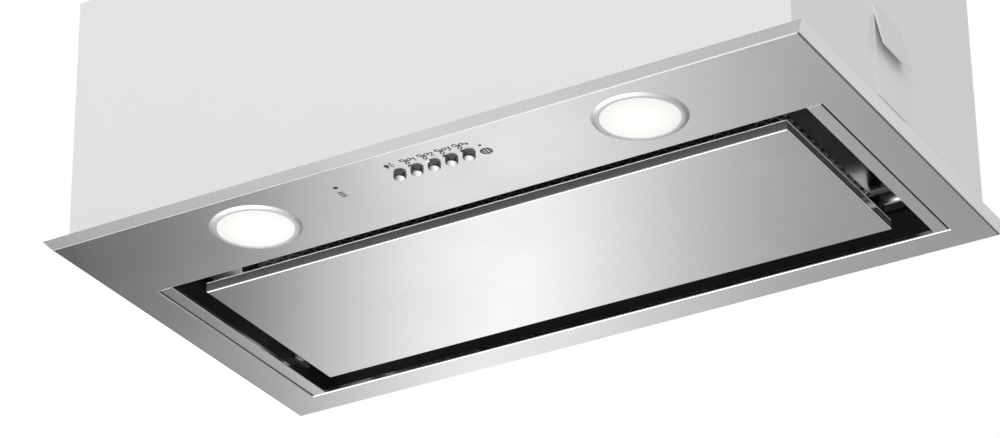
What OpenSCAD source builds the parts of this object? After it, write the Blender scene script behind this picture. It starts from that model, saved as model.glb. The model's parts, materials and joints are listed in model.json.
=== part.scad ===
// Built-in range hood with perimeter extraction.
// Frame: X runs along the width, -Y is the front with the push buttons, +Z is up.
// The origin is the middle of the plane that bears on the underside of the cabinet.
// The flat face that the cook sees lies below it, facing down.

/* [Face plate] */
// Width of the face plate over its bevelled rim
plate_w = 540; // [486:1:600]
// Depth of the face plate over its bevelled rim
plate_d = 305; // [284:1:340]
// Reach of the bevelled rim beyond the flat face
rim_run = 5; // [4:0.5:6]
// Height of the bevelled rim
rim_rise = 5.5; // [5:0.5:8]
// Thickness of the stainless sheet
sheet_t = 1; // [0.8:0.1:1.2]

/* [Air opening] */
// Distance from the plate's sides to the opening between the side strips
intake_side = 40; // [38:1:50]
// Distance from the plate's back edge to the opening
intake_back = 28.5; // [27:0.5:38]
// Distance from the front edge of the flat face to the opening
intake_front = 83; // [82:0.5:88]
// Width of each side strip
trim_w = 10; // [6:0.5:11]
// Step of the side strips below the face surface
trim_recess = 0.4; // [0.2:0.1:0.6]
// Width of the seam round each side strip
trim_gap = 0.3; // [0.2:0.1:0.6]
// Height of the folded lip round the opening
lip_h = 2; // [1:0.5:3]
// Wall of the moulded frame that lines the opening
frame_wall = 2.5; // [2:0.25:3]
// Height of the moulded frame above the face
frame_h = 36.5; // [36:0.5:38]
// Set-back of the moulded frame behind the lip
frame_setback = 1.3; // [1.2:0.1:1.6]
// Width of the moulded frame's foot at the front
foot_front = 4; // [3:0.5:5]
// Width of the moulded frame's foot at the sides
foot_side = 9; // [8:0.5:10]

/* [Perimeter panel] */
// Gap between panel and opening at the sides
gap_side = 19; // [16:0.5:22]
// Gap between panel and opening at the front
gap_front = 12.4; // [10:0.2:14]
// Gap between panel and opening at the back
gap_back = 24.5; // [22:0.5:27]
// Drop of the panel below the face
panel_proud = 2.9; // [2:0.1:4]
// Height of the panel's folded walls
panel_h = 6.8; // [6:0.1:8]
// Thickness of the panel's sheet
panel_t = 0.8; // [0.6:0.1:1]
// Width of the stiffener inside the panel
stiffener_w = 8; // [6:0.5:12]
// Height of the stiffener inside the panel
stiffener_h = 3.5; // [3:0.5:4]

/* [Panel hinge and catches] */
// Distance from the panel's back edge to the hinge axis
hinge_inset = 5.5; // [5:0.1:6]
// Height of the hinge axis above the face
hinge_lift = 17; // [16.5:0.1:17.5]
// Radius of the hinge pins
hinge_pin_r = 2; // [1.5:0.25:2.5]
// Radius of the bosses round the hinge pins
hinge_boss_r = 4.2; // [4:0.1:4.5]
// Width of each hinge arm
arm_w = 8; // [6:0.5:9]
// Distance of the hinge arms from the panel's sides
arm_inset = 3; // [2:0.5:6]
// Distance of the catches from the panel's sides
catch_inset = 31; // [26:1:90]
// Width of each catch tongue
tongue_w = 7; // [5:0.5:9]
// Height of the catch tongues above the face
tongue_lift = 13.5; // [12:0.5:14.5]

/* [Grease filter] */
// Height of the filter's underside above the face
filter_lift = 24; // [24:0.5:25]
// Height of the filter
filter_h = 9; // [8:0.5:10]
// Gap between filter and moulded frame at the sides
filter_gap = 4.5; // [3:0.5:6]
// Gap between filter and moulded frame at the front and back
filter_slack = 1.8; // [1:0.1:2.5]
// Thickness of the filter frame's sheet
filter_t = 1; // [0.8:0.1:1.2]
// Width of the filter frame's border at the sides
border_side = 27.5; // [20:0.5:30]
// Width of the filter frame's border at the front and back
border_end = 26; // [26:0.5:30]
// Width of the latch bolt
bolt_w = 12; // [8:0.5:16]
// Height of the latch bolt
bolt_h = 4; // [3:0.5:4]
// Travel of the latch bolt
bolt_travel = 3; // [2:0.25:3]

/* [Lamps] */
// Distance of the lamps from the middle
lamp_x = 138; // [100:1:160]
// Offset of the pair of lamps from the middle
lamp_shift = 2; // [-4:0.5:4]
// Distance from the front edge of the flat face to the lamps
lamp_front = 40; // [40:0.5:42]
// Outer radius of the lamp ring
bezel_r = 30; // [29:0.5:31]
// Drop of the lamp ring below the face
bezel_h = 1.5; // [1.2:0.1:4]
// Radius of the lens
lens_r = 25; // [24:0.1:26]
// Bulge of the lens
lens_crown = 1.3; // [0.5:0.1:2]
// Radius of the lamp opening in the face
lamp_hole_r = 28; // [27.8:0.1:28.5]
// Height of the lamp cups behind the face
cup_h = 20; // [16:1:24]

/* [Controls] */
// Radius of the push buttons
button_r = 4; // [3.5:0.1:4.2]
// Distance between push buttons
button_pitch = 12.4; // [11.5:0.1:16]
// Offset of the row of buttons from the middle
button_shift = 3.2; // [-10:0.1:10]
// Distance from the front edge of the flat face to the buttons
button_front = 27.5; // [27:0.5:31]
// Drop of the buttons below the face
button_proud = 2.8; // [2:0.1:4]
// Travel of the buttons
button_travel = 1.5; // [1:0.1:2]
// Radius of the indicator lights
light_r = 1.4; // [1.2:0.1:1.6]
// Distance from the buttons forward to the indicator lights
light_forward = 6; // [6:0.1:7]
// Sideways shift of the indicator lights
light_shift = -1.3; // [-2:0.1:2]

/* [Housing] */
// Overhang of the face plate beyond the housing
overhang = 12; // [11:0.5:13]
// Height of the housing above the seating plane
housing_h = 180; // [180:1:220]
// Thickness of the housing sheet
housing_t = 1; // [0.8:0.1:1.2]
// Width of the flange that bears on the cabinet
flange_w = 8; // [7:0.5:8]
// Radius of the cabinet screw holes
cabinet_hole_r = 2.25; // [1.75:0.25:2.5]
// Distance of the cabinet screws from the middle, front to back
cabinet_hole_y = 100; // [60:5:120]

/* [Blower] */
// Radius of the impeller
impeller_r = 50; // [46:1:51]
// Depth of the blades
blade_depth = 8; // [6:0.5:9]
// Width of each half of the impeller
wheel_w = 38; // [30:1:40]
// Number of blades in each half
blade_count = 24; // [16:1:32]
// Position of the shaft, front to back
axis_y = -46; // [-50:1:-44]
// Height of the shaft above the seating plane
axis_z = 112; // [112:1:116]
// Half of the blower's width
scroll_half = 50; // [48:1:52]
// Wall of the blower casing
scroll_wall = 2; // [1.5:0.25:2.5]
// Least radius inside the casing
cutoff_r = 56; // [55:0.5:57]
// Greatest radius inside the casing
outlet_r = 80; // [76:1:82]
// Radius of the air inlets
inlet_r = 44; // [42:1:46]
// Radius of the motor
motor_r = 33; // [28:1:34]
// Length of the motor
motor_l = 50; // [40:1:50]
// Radius of the motor shaft
shaft_r = 4; // [3:0.5:5]

/* [Duct outlet] */
// Outer radius of the collar, for a 120 mm duct
collar_r = 59.5; // [59.4:0.1:62]
// Wall of the collar
collar_wall = 2; // [1.6:0.1:2.2]
// Height of the collar above the lid
collar_h = 50; // [45:1:70]
// Radius of the collar's flange
collar_flange_r = 72; // [71:0.5:78]
// Thickness of the collar's flange
collar_flange_t = 3; // [2:0.5:4]
// Height of the damper pin above the lid
damper_lift = 14; // [12:0.5:20]
// Radius of the damper pin
damper_pin_r = 1.5; // [1:0.25:1.75]
// Thickness of the damper flaps
flap_t = 1.5; // [1:0.25:1.75]

/* [Electrics] */
// Radius of the cable hole in the gland
gland_bore_r = 4; // [3:0.25:5]
// Radius of the gland's body
gland_r = 8; // [7:0.5:9]
// Radius of the lamp leads
lamp_lead_r = 1.5; // [1:0.25:2]
// Radius of the motor lead
motor_lead_r = 2.5; // [1.5:0.25:3]

/* [Hidden] */
$fn = 72;

// Fits and small clearances
running_fit = 0.05;
press_fit = 0.02;
part_gap = 0.3;
over = 1;

// Face plate
face_z = -rim_rise;
plate_top = face_z + sheet_t;
flat_front = rim_run - plate_d / 2;
rim_slope = rim_run / rim_rise;
rim_wall = sheet_t * norm([rim_run, rim_rise]) / rim_rise;

// Air opening and the frame that lines it
half_open = plate_w / 2 - intake_side;
open_front = flat_front + intake_front;
open_back = plate_d / 2 - intake_back;
trim_x = half_open + trim_w;
liner_x = half_open + frame_setback;
liner_front = open_front - frame_setback;
liner_back = open_back + frame_setback;
liner_out_x = liner_x + frame_wall;
frame_top = face_z + frame_h;
ledge_x = 105;
ledge_half = 15;
ledge_d = 4.5;
ledge_t = 2;

// Perimeter panel
panel_x = half_open - gap_side;
panel_front = open_front + gap_front;
panel_back = open_back - gap_back;
panel_z = face_z - panel_proud;
panel_floor = panel_z + panel_t;
hinge_y = panel_back - hinge_inset;
hinge_z = face_z + hinge_lift;
arm_x = panel_x - arm_inset;
bracket_x = arm_x + 0.4;
bracket_foot_t = 1.5;
bracket_foot_d = 18;
bracket_foot_h = 12;
pin_end = liner_x - bracket_foot_t - 4;
catch_x = panel_x - catch_inset;
catch_w = 10;
catch_t = 0.6;
catch_reach = 3.4;
catch_drop = 4;
catch_hook = 3;
catch_rise = 4;
tongue_top = face_z + tongue_lift;

// Grease filter
filter_z = face_z + filter_lift;
filter_x = liner_x - filter_gap;
filter_front = liner_front + filter_slack;
filter_back = liner_back - filter_slack;
filter_floor = filter_z + filter_t;
bolt_z = filter_floor + part_gap;
bolt_reach = filter_slack + frame_wall / 2;
bolt_back = filter_front + 18;
tab_len = 6;
tab_drop = 5;
spring_len = 7;
guide_back = bolt_back + spring_len;

// Lamps
lamp_y = flat_front + lamp_front;
function lamp_place(side) = side * lamp_x + lamp_shift;
neck_r = lamp_hole_r - part_gap;
neck_top = face_z + 6;
neck_bore_r = lens_r - 1.5;
lens_seat = plate_top;
board_t = 1.6;
cup_wall = 1.5;

// Controls
button_y = flat_front + button_front;
function button_x(i) = button_shift + (i - 2) * button_pitch;
function light_x(i) = button_x(i) + light_shift;
light_y = button_y - light_forward;
button_foot_r = button_r + 0.6;
button_foot_z = plate_top + 0.1;
button_foot_t = 1;
well_r = button_foot_r + 0.2;
well_h = 5.5;
well_top = plate_top + well_h;
stem_r = 2;
carrier_h = 8.5;
carrier_top = plate_top + carrier_h;
stem_top = carrier_top + 0.2;
carrier_side = 9;
carrier_fore = 11;
carrier_aft = 8;
switch_z = stem_top + button_travel + 0.1;
switch_h = 3.6;
control_board_z = switch_z + switch_h;
post_inset = 3;
post_x = [button_x(0) - carrier_side + post_inset, button_x(4) + carrier_side - post_inset];
post_y = [button_y - carrier_fore + post_inset, button_y + carrier_aft - post_inset];
post_r = 2.4;
post_screw_r = 1.25;
cover_wall = 1.5;
cover_top = control_board_z + board_t + 5;

// Housing
half_w = plate_w / 2 - overhang;
half_d = plate_d / 2 - overhang;
cabinet_hole_x = half_w + flange_w / 2;
clip_w = 40;
clip_h = 66;
clip_t = 1;
clip_bow = 7;
clip_bow_z = 34;
clip_lift = 18;
lid_top = housing_h + housing_t;
lid_flange_w = 12;

// Blower
tongue_angle = 70;
tongue_y = cutoff_r * cos(tongue_angle);
seal_t = 2;
scroll_top = housing_h - seal_t - axis_z;
scroll_flange = 8;
outlet_mid = axis_y + (tongue_y + outlet_r) / 2;
outlet_half = scroll_half - scroll_wall;
motor_x = -60;
bush_t = 2;
bush_r = 5;
bush_pin_r = 2;
bush_pitch_r = inlet_r + 12;
bush_angles = [30, 150, 270];
bracket_plate_t = 2;

// Duct outlet
collar_top = lid_top + collar_h;
collar_bore_r = collar_r - collar_wall;
damper_z = lid_top + damper_lift;
flap_r = collar_bore_r - 1.2;
knuckle_r = damper_pin_r + 1.5;
flap_z = damper_z - knuckle_r + 0.5;
stop_r = collar_bore_r - 3.5;
knuckle_end = 48;
knuckle_far = 30;
knuckle_near = 28;
knuckle_mid = 2;
knuckle_gap = 1;

// Electrics
box_x = half_w - housing_t;
terminal_w = 44;
terminal_d = 60;
terminal_h = 46;
terminal_z = 112;
terminal_inset = 14.5;
terminal_hi = [terminal_w - box_x, half_d - terminal_inset, terminal_z + terminal_h];
terminal_lo = [-box_x, terminal_hi.y - terminal_d, terminal_z];
gland_y = terminal_hi.y - terminal_d / 2;
gland_z = terminal_z + terminal_h / 2;
lead_z = frame_top + 6;
lead_x = box_x - 8;
lead_back = half_d - 9;
driver_inset = 100;
driver_x = half_w - driver_inset;
driver_w = 76;
driver_d = 22;
driver_h = 32;
driver_z = 52;
capacitor_inset = 108;
capacitor_x = capacitor_inset - half_w;
capacitor_r = 15;
capacitor_h = 58;
capacitor_z = 60;
capacitor_stand_off = 4;
strap_w = 20;
strap_h = 28;
bracket_t = 1.5;
bracket_y = half_d - 45;
bracket_h = 20;
bracket_screw_z = plate_top + 12;
screw_r = 1.75;
screw_head_r = 3.5;
screw_head_h = 2;
lid_screw_inset = housing_t + lid_flange_w / 2;
lid_screw_places = [for (sx = [-1, 1], sy = [-1, 1]) each [
    [sx * (half_w - lid_screw_inset), sy * (half_d - 42)],
    [sx * half_w / 2, sy * (half_d - lid_screw_inset)]]];
collar_screw_r = (collar_r + collar_flange_r) / 2;
collar_screw_places = [for (a = [45 : 90 : 315]) collar_screw_r * [cos(a), sin(a)] + [0, outlet_mid]];
blower_screw_x = scroll_half + scroll_flange / 2;
blower_screw_y = 18;
blower_screw_places = [for (sx = [-1, 1], sy = [-1, 1])
    [sx * blower_screw_x, outlet_mid + sy * blower_screw_y]];

// A box from its lowest to its highest corner
module box(lo, hi) {
    translate(lo) cube(hi - lo);
}

// The children as they are on the right, or mirrored on the left
module on_side(side) {
    if (side > 0) children();
    else mirror([1, 0, 0]) children();
}

// A straight round piece along X, Y or Z
module rod_x(r, from, to) {
    translate([from, 0, 0]) rotate([0, 90, 0]) cylinder(r = r, h = to - from);
}
module rod_y(r, from, to) {
    translate([0, to, 0]) rotate([90, 0, 0]) cylinder(r = r, h = to - from);
}
module rod_z(r, from, to) {
    translate([0, 0, from]) cylinder(r = r, h = to - from);
}

// A block whose four sides slope outwards from its lower to its upper face
module bevelled_block(w, d, run, low, high) {
    intersection() {
        rotate([90, 0, 0]) linear_extrude(2 * d, center = true)
            polygon([[run - w / 2, low], [w / 2 - run, low], [w / 2, high], [-w / 2, high]]);
        rotate([90, 0, 90]) linear_extrude(2 * w, center = true)
            polygon([[run - d / 2, low], [d / 2 - run, low], [d / 2, high], [-d / 2, high]]);
    }
}

// A rectangular ring between two heights
module ring_box(outer_x, outer_y, inner_x, inner_y, low, high) {
    difference() {
        box([-outer_x, -outer_y, low], [outer_x, outer_y, high]);
        box([-inner_x, -inner_y, low - over], [inner_x, inner_y, high + over]);
    }
}

// Cylindrical screw with its head on top, its tip at the bottom
module screw(r, head_r, head_h, length) {
    rod_z(r, -length, 0);
    rod_z(head_r, 0, head_h);
}

// A round wire along a list of points, with a ball at each bend
module wire(points, r) {
    for (i = [0 : len(points) - 2]) {
        a = points[i];
        b = points[i + 1];
        run = b - a;
        translate(a) {
            if (abs(run.x) > 0) rod_x(r, min(0, run.x), max(0, run.x));
            if (abs(run.y) > 0) rod_y(r, min(0, run.y), max(0, run.y));
            if (abs(run.z) > 0) rod_z(r, min(0, run.z), max(0, run.z));
        }
        if (i > 0) translate(a) sphere(r = r);
    }
}

// Face

module face_plate() {
    hollow_w = plate_w - 2 * rim_wall + 2 * rim_slope * over;
    hollow_d = plate_d - 2 * rim_wall + 2 * rim_slope * over;
    hole_h = sheet_t + 2 * over;
    color("silver") difference() {
        union() {
            difference() {
                bevelled_block(plate_w, plate_d, rim_run, face_z, 0);
                bevelled_block(hollow_w, hollow_d, rim_slope * (over - plate_top), plate_top, over);
            }
            box([-half_open, open_front - sheet_t, face_z], [half_open, open_front, plate_top + lip_h]);
            box([-half_open, open_back, face_z], [half_open, open_back + sheet_t, plate_top + lip_h]);
        }
        box([-trim_x - trim_gap, open_front, face_z - over], [trim_x + trim_gap, open_back, lip_h]);
        for (side = [-1, 1])
            translate([lamp_place(side), lamp_y, face_z - over]) cylinder(r = lamp_hole_r, h = hole_h);
        for (i = [0 : 4])
            translate([button_x(i), button_y, face_z - over]) cylinder(r = button_r + 0.2, h = hole_h);
        for (i = [1 : 4])
            translate([light_x(i), light_y, face_z - over]) cylinder(r = light_r + 0.1, h = hole_h);
    }
}

module side_trim(side) {
    front = open_front + trim_gap;
    back = open_back - trim_gap;
    low = face_z + trim_recess;
    trim_t = plate_top - low;
    color("silver") on_side(side) {
        box([half_open, front, low], [trim_x, back, plate_top]);
        box([half_open, front, low], [half_open + trim_t, back, plate_top + lip_h]);
    }
}

// Four angles that stand on the face against the housing walls
module face_brackets() {
    wide = 10;
    leg = box_x - liner_out_x - foot_side - 1;
    color("lightgray") for (side = [-1, 1], y = [-bracket_y, bracket_y]) on_side(side)
        translate([box_x, y, plate_top]) difference() {
            union() {
                box([-leg, -wide, 0], [0, wide, bracket_t]);
                box([-bracket_t, -wide, 0], [0, wide, bracket_h]);
            }
            translate([0, 0, bracket_screw_z - plate_top]) rod_x(screw_r + 0.25, -bracket_t - over, over);
        }
}

module face_screws() {
    color("gray") for (side = [-1, 1], y = [-bracket_y, bracket_y]) on_side(side)
        translate([box_x - bracket_t, y, bracket_screw_z]) {
            rod_x(screw_r, 0, bracket_t + housing_t + 1);
            rod_x(screw_head_r, -screw_head_h, 0);
        }
}

module rim_seal() {
    seal_w = 2;
    color("dimgray") ring_box(half_w - housing_t + seal_w, half_d - housing_t + seal_w,
        half_w - housing_t, half_d - housing_t, plate_top, -housing_t);
}

// Lamps

module lamp_bezel(side) {
    edge_z = face_z - bezel_h;
    lens_hole = lens_r + 0.2;
    color("gainsboro") translate([lamp_place(side), lamp_y, 0]) rotate_extrude()
        polygon([[neck_bore_r, neck_top], [neck_r, neck_top], [neck_r, face_z], [bezel_r, face_z],
            [lens_hole + 1.2, edge_z], [lens_hole, edge_z], [lens_hole, lens_seat],
            [neck_bore_r, lens_seat]]);
}

module lamp_lens(side) {
    edge_z = face_z - bezel_h + 0.4;
    ball_r = (lens_r * lens_r + lens_crown * lens_crown) / (2 * lens_crown);
    steps = 12;
    crown = [for (k = [0 : steps]) let (r = lens_r * (1 - k / steps))
        [r, edge_z - lens_crown + ball_r - sqrt(ball_r * ball_r - r * r)]];
    color("white") translate([lamp_place(side), lamp_y, 0]) rotate_extrude()
        polygon(concat([[0, lens_seat], [lens_r, lens_seat]], crown));
}

module lamp_board(side) {
    color("white") translate([lamp_place(side), lamp_y, 0]) {
        rod_z(neck_r - 1, neck_top, neck_top + board_t);
        box([-4, -4, neck_top - 1], [4, 4, neck_top]);
    }
}

module lamp_cup(side) {
    inner_r = lamp_hole_r + 0.2;
    top = plate_top + cup_h;
    color("silver") translate([lamp_place(side), lamp_y, 0]) {
        difference() {
            rod_z(inner_r + cup_wall, plate_top, top);
            rod_z(inner_r, plate_top - over, top - cup_wall);
        }
        rod_z(6, neck_top + board_t, top - cup_wall);
    }
}

// Controls

module button(i) {
    color("gainsboro") translate([button_x(i), button_y, 0]) {
        rod_z(button_r, face_z - button_proud, button_foot_z);
        rod_z(button_foot_r, button_foot_z, button_foot_z + button_foot_t);
        rod_z(stem_r, button_foot_z + button_foot_t, stem_top);
    }
}

// Five coil springs in the wells, round the stems
module button_springs() {
    low = button_foot_z + button_foot_t;
    wire_r = 0.35;
    coil_r = 3.3;
    turns = 4;
    pitch = (well_top - low - 2 * wire_r) / turns;
    color("gray") for (i = [0 : 4]) translate([button_x(i), button_y, low + wire_r]) {
        for (k = [0 : turns]) translate([0, 0, k * pitch])
            rotate_extrude() translate([coil_r, 0]) circle(r = wire_r);
        difference() {
            rod_z(coil_r + 0.1, 0, turns * pitch);
            rod_z(coil_r - 0.1, -over, turns * pitch + over);
        }
    }
}

module button_carrier() {
    left = button_x(0) - carrier_side;
    right = button_x(4) + carrier_side;
    color("#26282a") difference() {
        union() {
            box([left, button_y - carrier_fore, plate_top], [right, button_y + carrier_aft, carrier_top]);
            for (x = post_x, y = post_y)
                translate([x, y, 0]) rod_z(post_r, carrier_top - over, control_board_z);
        }
        for (i = [0 : 4]) translate([button_x(i), button_y, 0]) {
            rod_z(well_r, plate_top - over, well_top);
            rod_z(stem_r + running_fit, 0, carrier_top + over);
        }
        for (i = [1 : 4]) translate([light_x(i), light_y, 0])
            rod_z(light_r - 0.3, plate_top - over, carrier_top + over);
        for (x = post_x, y = post_y)
            translate([x, y, 0]) rod_z(post_screw_r + press_fit, carrier_top, control_board_z + over);
    }
}

// Four light pipes, each with a wider end in the face
module indicator_lights() {
    color("whitesmoke") for (i = [1 : 4]) translate([light_x(i), light_y, 0]) {
        rod_z(light_r, face_z - 0.2, plate_top);
        rod_z(light_r - 0.4, plate_top, control_board_z);
    }
}

module switch_board() {
    color("darkgreen") difference() {
        box([button_x(0) - carrier_side, button_y - carrier_fore, control_board_z],
            [button_x(4) + carrier_side, button_y + carrier_aft, control_board_z + board_t]);
        for (x = post_x, y = post_y)
            translate([x, y, 0]) rod_z(1.4, control_board_z - over, control_board_z + board_t + over);
    }
    color("dimgray") for (i = [0 : 4]) translate([button_x(i), button_y, 0])
        box([-3, -3, switch_z], [3, 3, control_board_z]);
}

module control_cover() {
    left = button_x(0) - carrier_side - part_gap;
    right = button_x(4) + carrier_side + part_gap;
    front = button_y - carrier_fore - part_gap;
    back = button_y + carrier_aft + part_gap;
    color("#303234") difference() {
        box([left - cover_wall, front - cover_wall, plate_top],
            [right + cover_wall, back + cover_wall, cover_top]);
        box([left, front, plate_top - over], [right, back, cover_top - cover_wall]);
    }
}

module control_screws() {
    color("gray")
        for (x = post_x, y = post_y)
            translate([x, y, control_board_z + board_t]) screw(post_screw_r, 2.2, 1.5, board_t + 4);
}

// Lining of the air opening

module intake_frame() {
    slot_x = bolt_w / 2 + 0.5;
    foot_t = 2.5;
    color("#202224") difference() {
        union() {
            box([-liner_out_x, liner_front - frame_wall, plate_top],
                [liner_out_x, liner_back + frame_wall, frame_top]);
            box([-liner_out_x - foot_side, liner_front - frame_wall - foot_front, plate_top],
                [liner_out_x + foot_side, liner_back + frame_wall, plate_top + foot_t]);
        }
        box([-liner_x, liner_front, plate_top - over], [liner_x, liner_back, frame_top + over]);
        box([-slot_x, liner_front - frame_wall - over, bolt_z - 0.5],
            [slot_x, liner_front + over, bolt_z + bolt_h + 0.5]);
    }
    color("#202224") for (x = [-ledge_x, ledge_x])
        box([x - ledge_half, liner_back - ledge_d, filter_z - ledge_t],
            [x + ledge_half, liner_back + frame_wall / 2, filter_z]);
}

// Two steel brackets on the side walls, with bosses for the hinge pins
module hinge_brackets() {
    color("gray") for (side = [-1, 1]) on_side(side) translate([0, hinge_y, hinge_z]) difference() {
        union() {
            box([liner_x - bracket_foot_t, -bracket_foot_d / 2, -bracket_foot_h / 2],
                [liner_x, bracket_foot_d / 2, bracket_foot_h / 2]);
            rod_x(hinge_boss_r, bracket_x, liner_x - bracket_foot_t);
        }
        rod_x(hinge_pin_r + press_fit, bracket_x - over, pin_end);
    }
}

module hinge_pins() {
    color("silver") for (side = [-1, 1]) on_side(side) translate([0, hinge_y, hinge_z])
        rod_x(hinge_pin_r, arm_x - arm_w - 0.5, pin_end);
}

// Two spring leaves that hold the panel's tongues
module panel_catches() {
    half = catch_w / 2;
    reach = panel_front + catch_reach;
    leaf_top = tongue_top - catch_drop;
    leaf = leaf_top - catch_t;
    color("silver") for (side = [-1, 1]) on_side(side) translate([catch_x, 0, 0]) {
        box([-half, liner_front, leaf], [half, reach, leaf_top]);
        box([-half, reach - catch_t, leaf_top - catch_hook], [half, reach, leaf_top]);
        box([-half, liner_front, leaf], [half, liner_front + catch_t, tongue_top + catch_rise]);
    }
}

// Perimeter panel

module perimeter_panel() {
    color("silver") difference() {
        box([-panel_x, panel_front, panel_z], [panel_x, panel_back, panel_z + panel_h]);
        box([panel_t - panel_x, panel_front + panel_t, panel_floor],
            [panel_x - panel_t, panel_back - panel_t, panel_z + panel_h + over]);
    }
}

module panel_frame() {
    in_x = panel_x - panel_t;
    front = panel_front + panel_t;
    back = panel_back - panel_t;
    top = panel_floor + stiffener_h;
    arm_half = hinge_boss_r;
    color("#242628") difference() {
        union() {
            difference() {
                box([-in_x, front, panel_floor], [in_x, back, top]);
                box([stiffener_w - in_x, front + stiffener_w, panel_floor - over],
                    [in_x - stiffener_w, back - stiffener_w, top + over]);
            }
            for (x = [-in_x / 3, in_x / 3])
                box([x - stiffener_w / 2, front, panel_floor], [x + stiffener_w / 2, back, top]);
            for (side = [-1, 1]) on_side(side) {
                box([arm_x - arm_w, hinge_y - arm_half, panel_floor], [arm_x, hinge_y + arm_half, hinge_z]);
                translate([0, hinge_y, hinge_z]) rod_x(hinge_boss_r, arm_x - arm_w, arm_x);
                box([catch_x - tongue_w / 2, front + 3, panel_floor],
                    [catch_x + tongue_w / 2, front + 8, tongue_top]);
            }
        }
        for (side = [-1, 1]) on_side(side) translate([0, hinge_y, hinge_z])
            rod_x(hinge_pin_r + running_fit, arm_x - arm_w - over, arm_x + over);
    }
}

// Grease filter

module filter_frame() {
    top = filter_z + filter_h;
    rim_in = 8;
    slot_x = bolt_w / 2 + part_gap;
    color("silver") difference() {
        box([-filter_x, filter_front, filter_z], [filter_x, filter_back, top]);
        box([filter_t - filter_x, filter_front + filter_t, filter_floor],
            [filter_x - filter_t, filter_back - filter_t, top - filter_t]);
        box([border_side - filter_x, filter_front + border_end, filter_z - over],
            [filter_x - border_side, filter_back - border_end, filter_floor + over]);
        box([rim_in - filter_x, filter_front + rim_in, top - filter_t - over],
            [filter_x - rim_in, filter_back - rim_in, top + over]);
        box([-slot_x, filter_front - over, bolt_z - 0.2],
            [slot_x, filter_front + filter_t + over, bolt_z + bolt_h + 0.2]);
        box([-slot_x, bolt_back - tab_len - part_gap, filter_z - over],
            [slot_x, bolt_back + bolt_travel + part_gap, filter_floor + over]);
    }
    color("silver")
        box([-bolt_w / 2, guide_back, filter_floor], [bolt_w / 2, guide_back + filter_t, bolt_z + bolt_h]);
}

// Lower and upper sheet of the mesh pack
module filter_mesh() {
    slack = 0.2;
    mesh_t = 0.5;
    top = filter_z + filter_h - filter_t;
    pocket_x = bolt_w / 2 + 2;
    front = filter_front + filter_t + slack;
    color("gray") difference() {
        for (low = [filter_floor, top - mesh_t])
            box([filter_t + slack - filter_x, front, low],
                [filter_x - filter_t - slack, filter_back - filter_t - slack, low + mesh_t]);
        box([-pocket_x, front - over, filter_floor - over],
            [pocket_x, guide_back + filter_t + slack, filter_z + filter_h]);
    }
}

module filter_latch() {
    half = bolt_w / 2;
    color("#242628") {
        box([-half, filter_front - bolt_reach, bolt_z], [half, bolt_back, bolt_z + bolt_h]);
        box([-half, bolt_back - tab_len, filter_z - tab_drop], [half, bolt_back, bolt_z]);
    }
}

module latch_spring() {
    wire_r = 0.3;
    coil_r = bolt_h / 2 - wire_r;
    turns = 5;
    pitch = (spring_len - 2 * wire_r) / turns;
    color("gray") translate([0, bolt_back + wire_r, bolt_z + bolt_h / 2]) rotate([-90, 0, 0]) {
        for (k = [0 : turns]) translate([0, 0, k * pitch])
            rotate_extrude() translate([coil_r, 0]) circle(r = wire_r);
        difference() {
            rod_z(coil_r + 0.15, 0, turns * pitch);
            rod_z(coil_r - 0.15, -over, turns * pitch + over);
        }
    }
}

// Housing

module housing_shell() {
    inner_x = half_w - housing_t;
    inner_y = half_d - housing_t;
    color("white") difference() {
        union() {
            ring_box(half_w, half_d, inner_x, inner_y, -housing_t, housing_h);
            ring_box(half_w + flange_w, half_d + flange_w, inner_x, inner_y, -housing_t, 0);
            ring_box(half_w, half_d, half_w - lid_flange_w - housing_t, half_d - lid_flange_w - housing_t,
                housing_h - housing_t, housing_h);
        }
        for (sx = [-1, 1], sy = [-1, 1])
            translate([sx * cabinet_hole_x, sy * cabinet_hole_y, 0])
                rod_z(cabinet_hole_r, -housing_t - over, over);
        for (p = lid_screw_places)
            translate([p.x, p.y, 0])
                rod_z(screw_r + press_fit, housing_h - housing_t - over, housing_h + over);
        for (side = [-1, 1], y = [-bracket_y, bracket_y]) on_side(side)
            translate([half_w, y, bracket_screw_z]) rod_x(screw_r + press_fit, -housing_t - over, over);
        translate([-half_w, gland_y, gland_z]) rod_x(gland_r + 0.1, -over, housing_t + over);
    }
}

module housing_lid() {
    color("white") difference() {
        box([-half_w, -half_d, housing_h], [half_w, half_d, lid_top]);
        box([-outlet_half, axis_y + tongue_y, housing_h - over],
            [outlet_half, axis_y + outlet_r, lid_top + over]);
        for (p = concat(lid_screw_places, collar_screw_places, blower_screw_places))
            translate([p.x, p.y, 0]) rod_z(screw_r + press_fit, housing_h - over, lid_top + over);
    }
}

module lid_screws() {
    color("gray") {
        for (p = lid_screw_places) translate([p.x, p.y, lid_top])
            screw(screw_r, screw_head_r, screw_head_h, 5);
        for (p = collar_screw_places) translate([p.x, p.y, lid_top + collar_flange_t])
            screw(screw_r, screw_head_r, screw_head_h, 7);
    }
}

// Sprung clips on the housing's sides that grip the cabinet opening
module cabinet_clips() {
    fold_z = clip_h - 8 * clip_t;
    leaf = [[0, 0], [clip_t, 0], [clip_t, fold_z], [clip_bow - clip_t, clip_bow_z], [clip_bow, clip_bow_z],
        [clip_t, clip_h], [0, clip_h]];
    color("white") for (side = [-1, 1]) on_side(side)
        translate([half_w, clip_w / 2, clip_lift]) rotate([90, 0, 0]) linear_extrude(clip_w) polygon(leaf);
}

// Electrics

module terminal_box() {
    wall = 2;
    color("dimgray") difference() {
        box(terminal_lo, terminal_hi);
        box(terminal_lo + [wall, wall, wall], terminal_hi + [over, -wall, -wall]);
        translate([-box_x, gland_y, gland_z]) rod_x(gland_r + 0.1, -over, wall + over);
    }
}

module terminal_lid() {
    thick = 2;
    color("gray") box([terminal_hi.x, terminal_lo.y, terminal_lo.z], terminal_hi + [thick, 0, 0]);
}

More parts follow.
